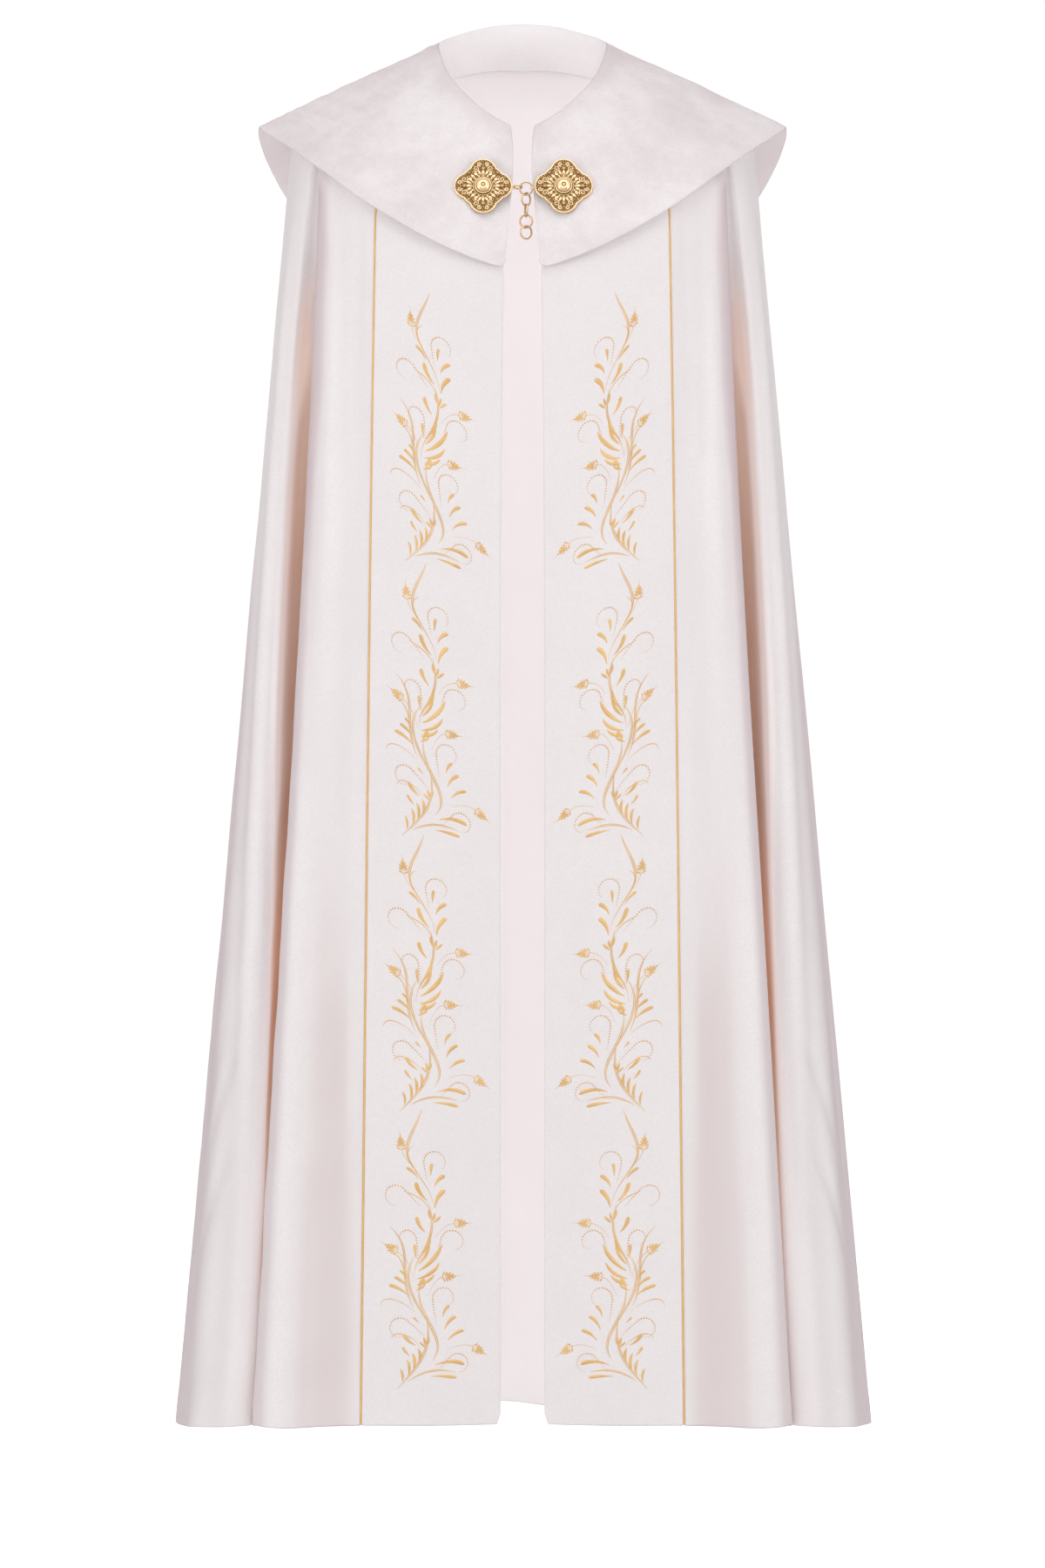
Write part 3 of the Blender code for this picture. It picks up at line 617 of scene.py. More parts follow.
def new_object(name: str, points: Array, faces: Sequence, finish: Material,
               layers: dict[str, Array]) -> Object:
    """Make a smooth mesh object with its material and its layers of point values.

    Args:
        name: The piece's name.
        points: N points in metres.
        faces: Faces, each a row of point numbers.
        finish: The material.
        layers: Layer names to N numbers, or to N rows of two, which make a UV layer.

    Returns:
        The new object, linked to the scene.
    """
    mesh = bpy.data.meshes.new(name)
    mesh.from_pydata(np.asarray(points).tolist(), [], faces)
    for layer, values in layers.items():
        if values.ndim == 1:
            made = mesh.attributes.new(layer, "FLOAT", "POINT")
            made.data.foreach_set("value", values.astype(np.float32))
        else:
            corners = np.empty(len(mesh.loops), np.int32)
            mesh.loops.foreach_get("vertex_index", corners)
            made = mesh.uv_layers.new(name=layer)
            made.data.foreach_set("uv", values[corners].astype(np.float32).ravel())
    mesh.shade_smooth()
    mesh.materials.append(finish)
    return link(name, mesh)


def link(name: str, data: bpy.types.ID) -> Object:
    """Make an object and link it to the scene.

    Args:
        name: Its name.
        data: Its mesh, light or camera.

    Returns:
        The object.
    """
    obj = bpy.data.objects.new(name, data)
    bpy.context.collection.objects.link(obj)
    return obj


def stand_for(obj: Object, node: str, body: str = ROOT) -> None:
    """Show an object in place of a node.

    Args:
        obj: The object.
        node: The node that it replaces.
        body: The body that it rides on.
    """
    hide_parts(node)
    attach(obj, body)
    LOG.info("%s on %s: %d faces", obj.name, body, len(obj.data.polygons))


def grid_faces(rows: int, columns: int, start: int = 0, flip: bool = False,
               closed: bool = False) -> Array:
    """Four-cornered faces of a grid of points.

    Args:
        rows: Number of rows.
        columns: Number of columns.
        start: Number of the grid's first point.
        flip: Whether the faces look the other way.
        closed: Whether each row joins up with its own start.

    Returns:
        Faces by four point numbers.
    """
    r, c = np.meshgrid(np.arange(rows - 1), np.arange(columns if closed else columns - 1),
                       indexing="ij")
    a, b = r * columns + c, r * columns + (c + 1) % columns
    faces = np.stack((a, b, b + columns, a + columns), axis=-1).reshape(-1, 4) + start
    return faces[:, ::-1] if flip else faces


def cloth_shell(name: str, grid: Array, wall: float | Array, finish: Material,
                hollow: Array, inner_hollow: float = -1.0,
                outer: dict[str, Array] | None = None) -> Object:
    """Thin wall on a grid of middle points, with a rounded rim.

    Args:
        name: The piece's name.
        grid: Rows by columns of middle points.
        wall: Thickness in metres, for all or for each point.
        finish: The cloth's material.
        hollow: For each point, how far in a fold its outer side lies, 0 to 1, which sets its
            painted shade.
        inner_hollow: The same for the whole inner side; below nought, it has a painted glow for
            light through the cloth.
        outer: More values for each point of the outer side, by name.

    Returns:
        The shell.
    """
    rows, columns = grid.shape[:2]
    half = grid_normals(grid) * (np.broadcast_to(wall, (rows, columns)) / 2.0)[..., None]
    border = [(0, c) for c in range(columns)] + [(r, columns - 1) for r in range(1, rows)]
    border += [(rows - 1, c) for c in range(columns - 2, -1, -1)]
    border += [(r, 0) for r in range(rows - 2, 0, -1)]
    within = [(min(max(r, 1), rows - 2), min(max(c, 1), columns - 2)) for r, c in border]
    at, near = np.array(border).T, np.array(within).T
    away = unit(grid[at[0], at[1]] - grid[near[0], near[1]])
    round_rim = grid[at[0], at[1]] + away * np.linalg.norm(half[at[0], at[1]], axis=1)[:, None]
    points = np.concatenate(((grid + half).reshape(-1, 3), (grid - half).reshape(-1, 3),
                             round_rim))
    count = rows * columns
    rim = at[0] * columns + at[1]
    middle = 2 * count + np.arange(len(rim))
    ahead, middle_ahead = np.roll(rim, -1), np.roll(middle, -1)
    faces = np.concatenate((
        grid_faces(rows, columns), grid_faces(rows, columns, count, flip=True),
        np.stack((rim, middle, middle_ahead, ahead), axis=1),
        np.stack((middle, rim + count, ahead + count, middle_ahead), axis=1)))
    layers = {"hollow": np.concatenate((hollow.ravel(), np.full(count, inner_hollow),
                                        hollow[at[0], at[1]]))}
    for key, values in (outer or {}).items():
        layers[key] = np.concatenate((values.ravel(), np.zeros(count), values[at[0], at[1]]))
    return new_object(name, points, faces.tolist(), finish, layers)


def tube_rings(points: Array, radii: float | Array, sides: int, closed: bool = False,
               up: Sequence[float] | None = None) -> Array:
    """Rings of points round a line.

    Args:
        points: N points of the line.
        radii: Radius in metres, for all or for each point, or rows of one for each side.
        sides: Points in a ring.
        closed: Whether the line joins up.
        up: Direction that the rings' first axis leans to, or none for the line's own.

    Returns:
        N rings by sides by three.
    """
    points = np.asarray(points, float)
    if closed:
        tangents = np.roll(points, -1, axis=0) - np.roll(points, 1, axis=0)
    else:
        tangents = np.gradient(points, axis=0)
    tangents = unit(tangents)
    if up is None:
        up = np.cross(tangents[0], tangents[len(points) // 3])
        if np.linalg.norm(up) < 1e-6:
            up = np.array((0.0, 0.0, 1.0))
    side = unit(np.cross(tangents, np.broadcast_to(np.asarray(up, float), points.shape)))
    top = np.cross(side, tangents)
    turns = full_turn(sides)
    radii = np.broadcast_to(np.asarray(radii, float).reshape(-1, 1)
                            if np.ndim(radii) == 1 else radii, (len(points), sides))
    return points[:, None] + radii[..., None] * (np.cos(turns)[None, :, None] * side[:, None]
                                                 + np.sin(turns)[None, :, None] * top[:, None])


# --- finishes
class NodeBench:
    """Short ways to lay out a node tree."""

    def __init__(self, tree: NodeTree) -> None:
        """Keep the tree."""
        self.tree = tree

    def feed(self, node: Node, inputs: dict) -> Node:
        """Set a node's inputs.

        Args:
            node: The node.
            inputs: Socket names or numbers to constants, or to sockets that feed them.

        Returns:
            The node.
        """
        for key, value in inputs.items():
            if isinstance(value, Socket):
                self.tree.links.new(value, node.inputs[key])
            else:
                node.inputs[key].default_value = value
        return node

    def node(self, kind: str, inputs: dict | None = None, **settings: object) -> Node:
        """Add a node.

        Args:
            kind: The node's type, after the word that all shader nodes begin with.
            inputs: What its sockets are fed with.
            **settings: Properties of the node.

        Returns:
            The node.
        """
        made = self.tree.nodes.new(f"ShaderNode{kind}")
        for key, value in settings.items():
            setattr(made, key, value)
        return self.feed(made, inputs or {})

    def math(self, operation: str, *values: Socket | float) -> Socket:
        """Result of a Math node on values or sockets."""
        return self.node("Math", dict(enumerate(values)), operation=operation).outputs[0]

    def ramp(self, value: Socket, low: float, high: float, to_low: float = 0.0,
             to_high: float = 1.0) -> Socket:
        """A value mapped smoothly from one range to another."""
        return self.node("MapRange", {0: value, 1: low, 2: high, 3: to_low, 4: to_high},
                         interpolation_type="SMOOTHSTEP").outputs[0]

    def mix(self, share: Socket, first: Socket | Colour, second: Socket | Colour) -> Socket:
        """Colour between two, by share."""
        ends = ((*end, 1.0) if isinstance(end, tuple) else end for end in (first, second))
        return self.node("Mix", dict(zip((0, 6, 7), (share, *ends))), data_type="RGBA").outputs[2]

    def noise(self, vector: Socket, scale: Socket | float, detail: float,
              roughness: float = 0.5) -> Socket:
        """A noise pattern, 0 to 1."""
        return self.node("TexNoise", {"Vector": vector, "Scale": scale, "Detail": detail,
                                      "Roughness": roughness}).outputs["Fac"]

    def attribute(self, name: str) -> Socket:
        """A value stored on the mesh."""
        return self.node("Attribute", attribute_name=name).outputs["Fac"]

    def layer(self, name: str) -> Socket:
        """The first number of a two-number layer of the mesh."""
        stored = self.node("UVMap", uv_map=name).outputs["UV"]
        return self.node("SeparateXYZ", {0: stored}).outputs["X"]

    @cached_property
    def where(self) -> Socket:
        """The place on the object that is shaded."""
        return self.node("TexCoord").outputs["Object"]

    def group(self, tree: NodeTree, **inputs: Socket | float) -> Node:
        """Add a shared group that reads the place on the object."""
        return self.feed(self.node("Group", node_tree=tree), {"Vector": self.where} | inputs)


def node_group(name: str, inputs: dict[str, float],
               outputs: Sequence[str]) -> tuple[NodeBench, dict[str, Socket], Node]:
    """Start a shader node group that reads a Vector and numbers and puts out numbers.

    Args:
        name: The group's name.
        inputs: Names of the number sockets to their defaults.
        outputs: Names of the sockets that it puts out.

    Returns:
        A bench on the group, its input sockets by name, and its output node.
    """
    tree = bpy.data.node_groups.new(name, "ShaderNodeTree")
    tree.interface.new_socket("Vector", in_out="INPUT", socket_type="NodeSocketVector")
    for socket, default in inputs.items():
        made = tree.interface.new_socket(socket, in_out="INPUT", socket_type="NodeSocketFloat")
        made.default_value = default
    for socket in outputs:
        tree.interface.new_socket(socket, in_out="OUTPUT", socket_type="NodeSocketFloat")
    source, sink = tree.nodes.new("NodeGroupInput"), tree.nodes.new("NodeGroupOutput")
    return NodeBench(tree), {s.name: s for s in source.outputs if s.name}, sink


def build_grain() -> NodeTree:
    """Fine cloth grain: crossed threads broken up by a slub.

    Returns:
        The node group.
    """
    bench, given, sink = node_group("cloth_grain", {"Threads": 900.0, "Slub": 0.5},
                                    ("Height", "Shade"))
    down, across = (bench.node("TexWave", {"Vector": given["Vector"], "Scale": given["Threads"],
                                           "Distortion": 1.2, "Detail": 1.0},
                               wave_type="BANDS", bands_direction=way).outputs["Fac"]
                    for way in ("Z", "X"))
    woven = bench.math("MULTIPLY", down, bench.math("ADD", across, 0.35))
    noise = bench.noise(given["Vector"], 420.0, 3.0, 0.6)
    height = bench.math("ADD", bench.math("MULTIPLY", woven, 0.5),
                        bench.math("MULTIPLY", noise, given["Slub"]))
    bench.feed(sink, {"Height": height, "Shade": bench.ramp(noise, 0.3, 0.7)})
    return bench.tree


def build_blotches() -> NodeTree:
    """Broad soft variation, for colour and sheen.

    Returns:
        The node group.
    """
    bench, given, sink = node_group("soft_blotches", {"Size": 9.0}, ("Broad", "Small"))
    for socket, factor in (("Broad", 1.0), ("Small", 4.3)):
        scale = bench.math("MULTIPLY", given["Size"], factor)
        noise = bench.noise(given["Vector"], scale, 3.0, 0.55)
        bench.feed(sink, {socket: bench.ramp(noise, 0.3, 0.7)})
    return bench.tree


def build_patina() -> NodeTree:
    """Darkening that lies in the low places of gilt relief, broken by small spots.

    Returns:
        The node group.
    """
    bench, given, sink = node_group("gilt_patina", {"Height": 1.0, "Spread": 0.35},
                                    ("Dark", "Scuff"))
    spots = bench.math("SUBTRACT", bench.noise(given["Vector"], 900.0, 2.0), 0.5)
    broken = bench.math("MULTIPLY", spots, given["Spread"])
    height = bench.math("ADD", given["Height"], broken)
    scuff = bench.noise(given["Vector"], 2600.0, 2.0)
    bench.feed(sink, {"Dark": bench.ramp(height, 0.15, 0.90, 1.0, 0.0),
                      "Scuff": bench.ramp(scuff, 0.35, 0.65)})
    return bench.tree


@dataclass
class SharedEffects:
    """Node groups that more than one finish uses, each built once."""

    grain: NodeTree = field(default_factory=build_grain)
    blotches: NodeTree = field(default_factory=build_blotches)
    patina: NodeTree = field(default_factory=build_patina)


def new_material(name: str) -> tuple[Material, NodeBench, Node]:
    """Start a material.

    Args:
        name: Its name.

    Returns:
        The material, a bench on its tree and its Principled shader.
    """
    made = bpy.data.materials.new(name)
    made.use_nodes = True
    return made, NodeBench(made.node_tree), made.node_tree.nodes["Principled BSDF"]


# every painted glow of the satin (emission) is a share of this strength
EMISSION = 0.5                # the strength that every glow of the satin is a share of
BLACK = (0.0, 0.0, 0.0)


@dataclass(frozen=True)
class SatinFinish:
    """Cream satin with painted light and shade: bright where it stands out, warmer in troughs,
    brown in deep folds.
    """

    name: str
    # By the hollow layer: crest is a painted highlight on ridges and bright is the cloth's own
    # colour. Trough, peach and deep are painted shade in creases and folds; trough is also the
    # tone that mottle and grain darken toward.
    crest: Colour = (0.915, 0.893, 0.900)
    bright: Colour = (0.855, 0.822, 0.830)
    trough: Colour = (0.725, 0.645, 0.640)
    peach: Colour = (0.770, 0.590, 0.500)
    deep: Colour = (0.500, 0.290, 0.200)
    # painted glow (emission), warm deep in the folds, below and above
    glow_above: Colour = (0.290, 0.150, 0.085)
    glow_below: Colour = (0.400, 0.335, 0.270)
    # painted light (emission) on a fold's outer wall, standing in for light from the roll beside
    # it, above and below
    lit_above: Colour = (1.000, 0.620, 0.380)
    lit_below: Colour = (0.990, 0.975, 0.960)
    # rim: colour of the painted shade that the turned layer mixes in, at edges turned from the
    # front and along a fold's lip
    rim: Colour = (0.560, 0.450, 0.470)
    roughness: float = 0.44
    sheen: float = 0.06
    sheen_roughness: float = 0.45
    threads: float = 900.0
    grain_depth: float = 0.00008
    grain_strength: float = 0.6
    blotch_size: float = 9.0
    mottle: float = 0.10
    grain_shade: float = 0.22
    # strength of the inner side's painted glow, standing in for light through the cloth
    shows_through: float = 0.22

    def make(self, effects: SharedEffects) -> Material:
        """The finish's material.

        Args:
            effects: The shared node groups.

        Returns:
            The material.
        """
        made, bench, shader = new_material(self.name)
        hollow = bench.attribute("hollow")
        blotch = bench.group(effects.blotches, Size=self.blotch_size)
        grain = bench.group(effects.grain, Threads=self.threads)
        # painted highlight on crests, and painted shade in creases and folds, by how far in a fold
        # each point lies
        shaded = self.crest
        for low, high, tone in ((-0.2, 0.02, self.bright), (0.0, 0.25, self.trough),
                                (0.18, 0.50, self.peach), (0.50, 1.0, self.deep)):
            shaded = bench.mix(bench.ramp(hollow, low, high), shaded, tone)
        small = blotch.outputs["Small"]
        for mask, share in ((blotch.outputs["Broad"], self.mottle), (small, self.mottle * 0.5),
                            (grain.outputs["Shade"], self.grain_shade)):
            shaded = bench.mix(bench.math("MULTIPLY", mask, share), shaded, self.trough)
        bump = bench.node("Bump", {"Strength": self.grain_strength,
                                   "Distance": self.grain_depth,
                                   "Height": grain.outputs["Height"]})
        # the turned layer mixes in painted shade at turned edges and along the fold's lip
        bench.feed(shader, {
            "Base Color": bench.mix(bench.attribute("turned"), shaded, self.rim),
            "Roughness": bench.math("ADD", bench.math("MULTIPLY", small, 0.08), self.roughness),
            "Normal": bump.outputs["Normal"],
            "Sheen Weight": self.sheen, "Sheen Roughness": self.sheen_roughness,
            "Emission Color": self.glow(bench, hollow), "Emission Strength": EMISSION})
        return made

    def glow(self, bench: NodeBench, hollow: Socket) -> Socket:
        """Painted glow (emission): warm deep in the folds, on their walls, and on the inner side.

        Args:
            bench: The material's bench.
            hollow: How far in a fold each point lies; below nought on the inner side.

        Returns:
            The colour of the light.
        """
        height = bench.node("SeparateXYZ", {0: bench.where}).outputs["Z"]
        warm = bench.mix(bench.ramp(height, -1.23, -0.95), self.glow_below, self.glow_above)
        share = bench.math("MULTIPLY", bench.ramp(hollow, 0.35, 0.75),
                           bench.ramp(height, -0.95, -0.72, 1.0, 0.30))
        light = bench.mix(bench.ramp(height, -0.40, -0.26), self.lit_below, self.lit_above)
        warm = bench.mix(bench.attribute("lit"), bench.mix(share, BLACK, warm), light)
        # the inner side's painted glow, standing in for light through the cloth
        seen = tuple(c * self.shows_through / EMISSION for c in self.bright)
        return bench.mix(bench.ramp(hollow, -0.9, -0.5, 1.0, 0.0), warm, seen)


@dataclass(frozen=True)
class ThreadFinish:
    """Gold embroidery or cord: rows of metallic thread, bright on top, with painted shade between
    rows.
    """

    name: str
    bright: Colour = (0.850, 0.580, 0.255)
    # dark: the colour that painted groove shade and random tone mix toward
    dark: Colour = (0.640, 0.370, 0.125)
    rows: float = 1.0
    metallic: float = 0.25
    roughness: float = 0.36
    darkening: float = 0.55
    blotch_size: float = 60.0
    thread_depth: float = 0.00012

    def make(self, effects: SharedEffects) -> Material:
        """The finish's material.

        Args:
            effects: The shared node groups.

        Returns:
            The material.
        """
        made, bench, shader = new_material(self.name)
        turn = bench.math("MULTIPLY", bench.layer("thread"), math.tau * self.rows)
        groove = bench.math("ABSOLUTE", bench.math("SINE", turn))
        blotch = bench.group(effects.blotches, Size=self.blotch_size)
        colour = self.bright
        # painted shade in the grooves between thread rows, then broad random tone
        for mask in (bench.ramp(groove, 0.0, 0.7, 1.0, 0.0), blotch.outputs["Broad"]):
            colour = bench.mix(bench.math("MULTIPLY", mask, self.darkening), colour, self.dark)
        rough = bench.math("MULTIPLY", blotch.outputs["Small"], 0.12)
        bump = bench.node("Bump", {"Strength": 0.7, "Distance": self.thread_depth,
                                   "Height": groove})
        bench.feed(shader, {"Base Color": colour, "Metallic": self.metallic,
                            "Roughness": bench.math("ADD", rough, self.roughness),
                            "Normal": bump.outputs["Normal"]})
        return made


@dataclass(frozen=True)
class GiltFinish:
    """Gilt metal: polished where it stands proud, dark and dull in its low places."""

    name: str
    bright: Colour = (0.860, 0.650, 0.390)
    dark: Colour = (0.245, 0.148, 0.060)
    roughness: float = 0.30

    def make(self, effects: SharedEffects) -> Material:
        """The finish's material.

        Args:
            effects: The shared node groups.

        Returns:
            The material.
        """
        made, bench, shader = new_material(self.name)
        patina = bench.group(effects.patina, Height=bench.layer("relief"))
        dark, rough = patina.outputs["Dark"], self.roughness
        for mask, share in ((dark, 0.30), (patina.outputs["Scuff"], 0.08)):
            rough = bench.math("ADD", bench.math("MULTIPLY", mask, share), rough)
        bench.feed(shader, {"Base Color": bench.mix(dark, self.bright, self.dark),
                            "Roughness": rough, "Metallic": 1.0})
        return made


FINISHES = (
    SatinFinish("mantle_satin"),
    SatinFinish("band_satin", bright=(0.864, 0.836, 0.843), roughness=0.50, blotch_size=14.0,
                mottle=0.08),
    SatinFinish("collar_satin", crest=(0.755, 0.690, 0.700), bright=(0.890, 0.858, 0.862),
                trough=(0.640, 0.550, 0.562), blotch_size=15.0, mottle=0.35),
    SatinFinish("facing_satin", crest=(0.857, 0.837, 0.843), bright=(0.820, 0.765, 0.770),
                roughness=0.52),
    ThreadFinish("gold_embroidery", rows=1.0 / (1.1 * MM)),
    ThreadFinish("gold_cord", rows=0.0, metallic=0.35),
    GiltFinish("gilt_metal"),
    GiltFinish("chain_metal", bright=(0.680, 0.480, 0.290), roughness=0.32),
)


# --- cloth pieces
# The mantle's painted shade in folds and troughs, and its painted highlight on crests, come from
# these.
# heights, and how deep inside the taut outline a fold is at its darkest there
FULL_HOLLOW = ((-1430, 60), (-1100, 52), (-750, 52), (-450, 46), (-260, 26))
HOLLOW_STARTS = 3 * MM        # and how deep it begins to be dark
CREASE_FULL = 20 * MM         # a crease this deep would be as dark
SOFT_HOLLOW = 26              # how often a fold's shade is spread to the columns beside it
HOLLOW_FADES = (-0.48, -0.12)    # the shade fails upward over these heights
BACK_LOSS, BACK_LOSS_OVER = 0.72, 0.08    # and by this share toward the back
CREASE_SHADES, SHADES = (-0.15, 0.2), (-0.2, 1.0)    # least and most, by creases and in all
# Places along the section are counted in tracks from the nearer front edge.
FOLD_STEPS = (8, 14)          # the side fold lies between these
LIT_STEPS = (9.0, 10.0, 14.0, 14.8)    # light on its outer wall grows and fails over these
# heights, and how bright the painted light on that wall is, standing in for light from the roll
# beside it
WALL_LIGHT = ((-1400, 0.14), (-1230, 0.27), (-1100, 0.31), (-980, 0.33), (-850, 0.36),
              (-720, 0.35), (-500, 0.28), (-300, 0.18), (-250, 0.13), (-200, 0.0))
# heights, and the share of the fold's depth at which that light begins to fail
LIT_UNTIL = ((-850, 0.46), (-720, 0.46), (-500, 0.37), (-370, 0.38), (-300, 0.70))
LIT_FAILS_OVER = 0.42
LIT_HOLLOW, LEAST_HOLLOW = (-0.02, 0.13), 0.02    # shades between which it grows, and least
# heights, and how deep the shade along the fold's lip is there
LIP_SHADE = ((-1430, 0.36), (-1000, 0.45), (-550, 0.58), (-430, 0.78), (-130, 0.78), (-90, 0.0))
# heights, and where along the section that shade begins; it is full and ends at the others
LIP_SHADE_BEGINS = ((-1430, 4.7), (-430, 4.6), (-330, 3.9))
LIP_SHADE_FULL, LIP_SHADE_ENDS = 5.4, (6.3, 7.0)
# turn from the front at which the painted edge shade begins and is full, and its share then
ROLL_EDGE_SHADE, COLLAR_EDGE_SHADE = (0.42, 0.94, 0.62), (0.37, 0.60, 0.40)
# the rolls' painted edge shade fades out above this height, over this rise, and toward the back
# over this
ROLL_SHADE_TOP, ROLL_SHADE_FADE, ROLL_SHADE_BACK = -0.66, 0.30, 0.09
SEAM = 1.4 * MM               # from the piping's middle to the cloth's edge on each side
EDGE_ROW = 1.2 * MM

# Front creases of the mantle's right half; the left has them mirrored, a little changed.
PANEL_CREASES = tuple(Crease(*row) for row in (
    (2.45, 2.30, 9, -1.4, -90, -430), (2.80, 2.60, 12, 1.2, -140, -560),
    (3.15, 3.05, 9, -1.6, -90, -480), (3.60, 3.50, 15, 2.6, -160, -900),
    (4.62, 4.45, 7, -2.8, -20, -800), (2.90, 2.85, 36, -3.0, -820, -1440),
    (2.25, 2.25, 8, 2.4, -560, -1320), (4.60, 4.50, 16, 3.0, -640, -1440),
    (3.45, 3.60, 14, -1.2, -480, -1060), (3.74, 3.70, 6, -1.0, -1120, -1440),
    (12.9, 12.8, 20, 3.0, -620, -1440), (14.9, 14.9, 30, 5.0, -240, -1440),
    (14.4, 14.1, 12, 3.6, -60, -1250), (14.2, 15.2, 10, -2.2, -1020, -1150),
    (14.2, 15.4, 10, -2.4, -1120, -1260), (15.9, 16.1, 14, -1.8, -560, -1300)))
BACK_CREASES = tuple(Crease(*row) for row in (
    (18.6, 18.4, 14, 2.0, -220, -760), (20.4, 20.6, 16, -2.4, -300, -980),
    (21.5, 21.3, 12, 1.8, -620, -1380), (23.4, 23.3, 16, 2.2, -320, -900),
    (24.6, 24.8, 14, -2.0, -500, -1300), (26.5, 26.4, 15, 2.0, -340, -1040),
    (27.6, 27.9, 13, -2.2, -700, -1400), (29.4, 29.2, 16, 2.4, -260, -880),
    (30.6, 30.4, 14, -1.8, -420, -1180)))
CREASE_RUNS_OFF = -1430       # a crease that ends below this height doesn't fade at the hem
CLOTH_WAVES = Undulation(7, (80, 220), (900, 2600), 0.45)
BAND_WAVES = Undulation(11, (90, 260), (500, 1500), 0.55)
COLLAR_WAVES = Undulation(23, (45, 150), (120, 420), 0.50)


@dataclass
class ClothPiece:
    """A cloth piece of the cloak: a grid of middle points, its wall and its finish."""

    name: str
    node: str
    wall: float
    finish: Material
    flat: tuple[float, float]
    area: float
    grid: Array = field(init=False)
    hollow: Array = field(init=False)
    outer: dict[str, Array] = field(init=False, default_factory=dict)

    def turned_away(self, low: float, high: float, share: float) -> Array:
        """How much painted edge shade each point has, more as the cloth turns from the front.

        Args:
            low: Turn at which the painted shade begins, from 0 facing the front to 1 edge on to
                it.
            high: Turn at which the painted shade is full.
            share: How much of it there is then.

        Returns:
            Rows by columns.
        """
        turn = 1.0 - np.abs(grid_normals(self.grid)[..., 1])
        return np.clip((turn - low) / (high - low), 0.0, 1.0) * share

    def dress(self, rests_on: Sequence[str] = (), inner_hollow: float = -1.0,
              with_pieces: Sequence[Object] = (), wall: Array | None = None) -> None:
        """Args:
            rests_on: Names of what it hangs from or lies on; not used.
            inner_hollow: How much painted shade its inner side has; below nought, a painted glow
                instead.
            with_pieces: Pieces that go with it; not used.
            wall: Thickness for each point, or none for the even wall.
        """
        obj = cloth_shell(self.name, self.grid, self.wall if wall is None else wall,
                          self.finish, self.hollow, inner_hollow, self.outer)
        stand_for(obj, self.node)


def crease_depths(section: CloakSection, places: Array, grid: Array,
                  creases: Sequence[Crease]) -> Array:
    """Add up what creases stand out or in, for each point of a grid.

    Args:
        section: The cloak's section.
        places: The columns' places.
        grid: Rows by columns of points.
        creases: The creases.

    Returns:
        Rows by columns of distances outward, in metres.
    """
    lengths = lengths_across(grid)
    total = np.zeros(grid.shape[:2])
    for crease in creases:
        top, bottom = crease.top * MM, crease.bottom * MM
        along = (grid[..., 2] - top) / (bottom - top)
        fade = smooth_step(along, 0.0, 0.22) * (1.0 - smooth_step(along, 0.6, 1.0))
        if crease.bottom < CREASE_RUNS_OFF:
            fade = smooth_step(along, 0.0, 0.35)
        step = np.clip(along.mean(axis=1), 0.0, 1.0) * (crease.end_step - crease.step)
        centre = np.array([np.interp(place, places, row) for place, row
                           in zip(section.place(step + crease.step), lengths)])
        away = (lengths - centre[:, None]) / (crease.width * MM)
        total += crease.depth * MM * np.exp(-away**2) * fade
    return total


def mirrored_creases(creases: Sequence[Crease], last_step: int) -> list[Crease]:
    """The creases of the other half, a little changed in depth."""
    return [c._replace(step=last_step - c.step, end_step=last_step - c.end_step,
                       depth=c.depth * (1.0 + 0.14 * math.sin(2.1 * k + 0.7)))
            for k, c in enumerate(creases)]


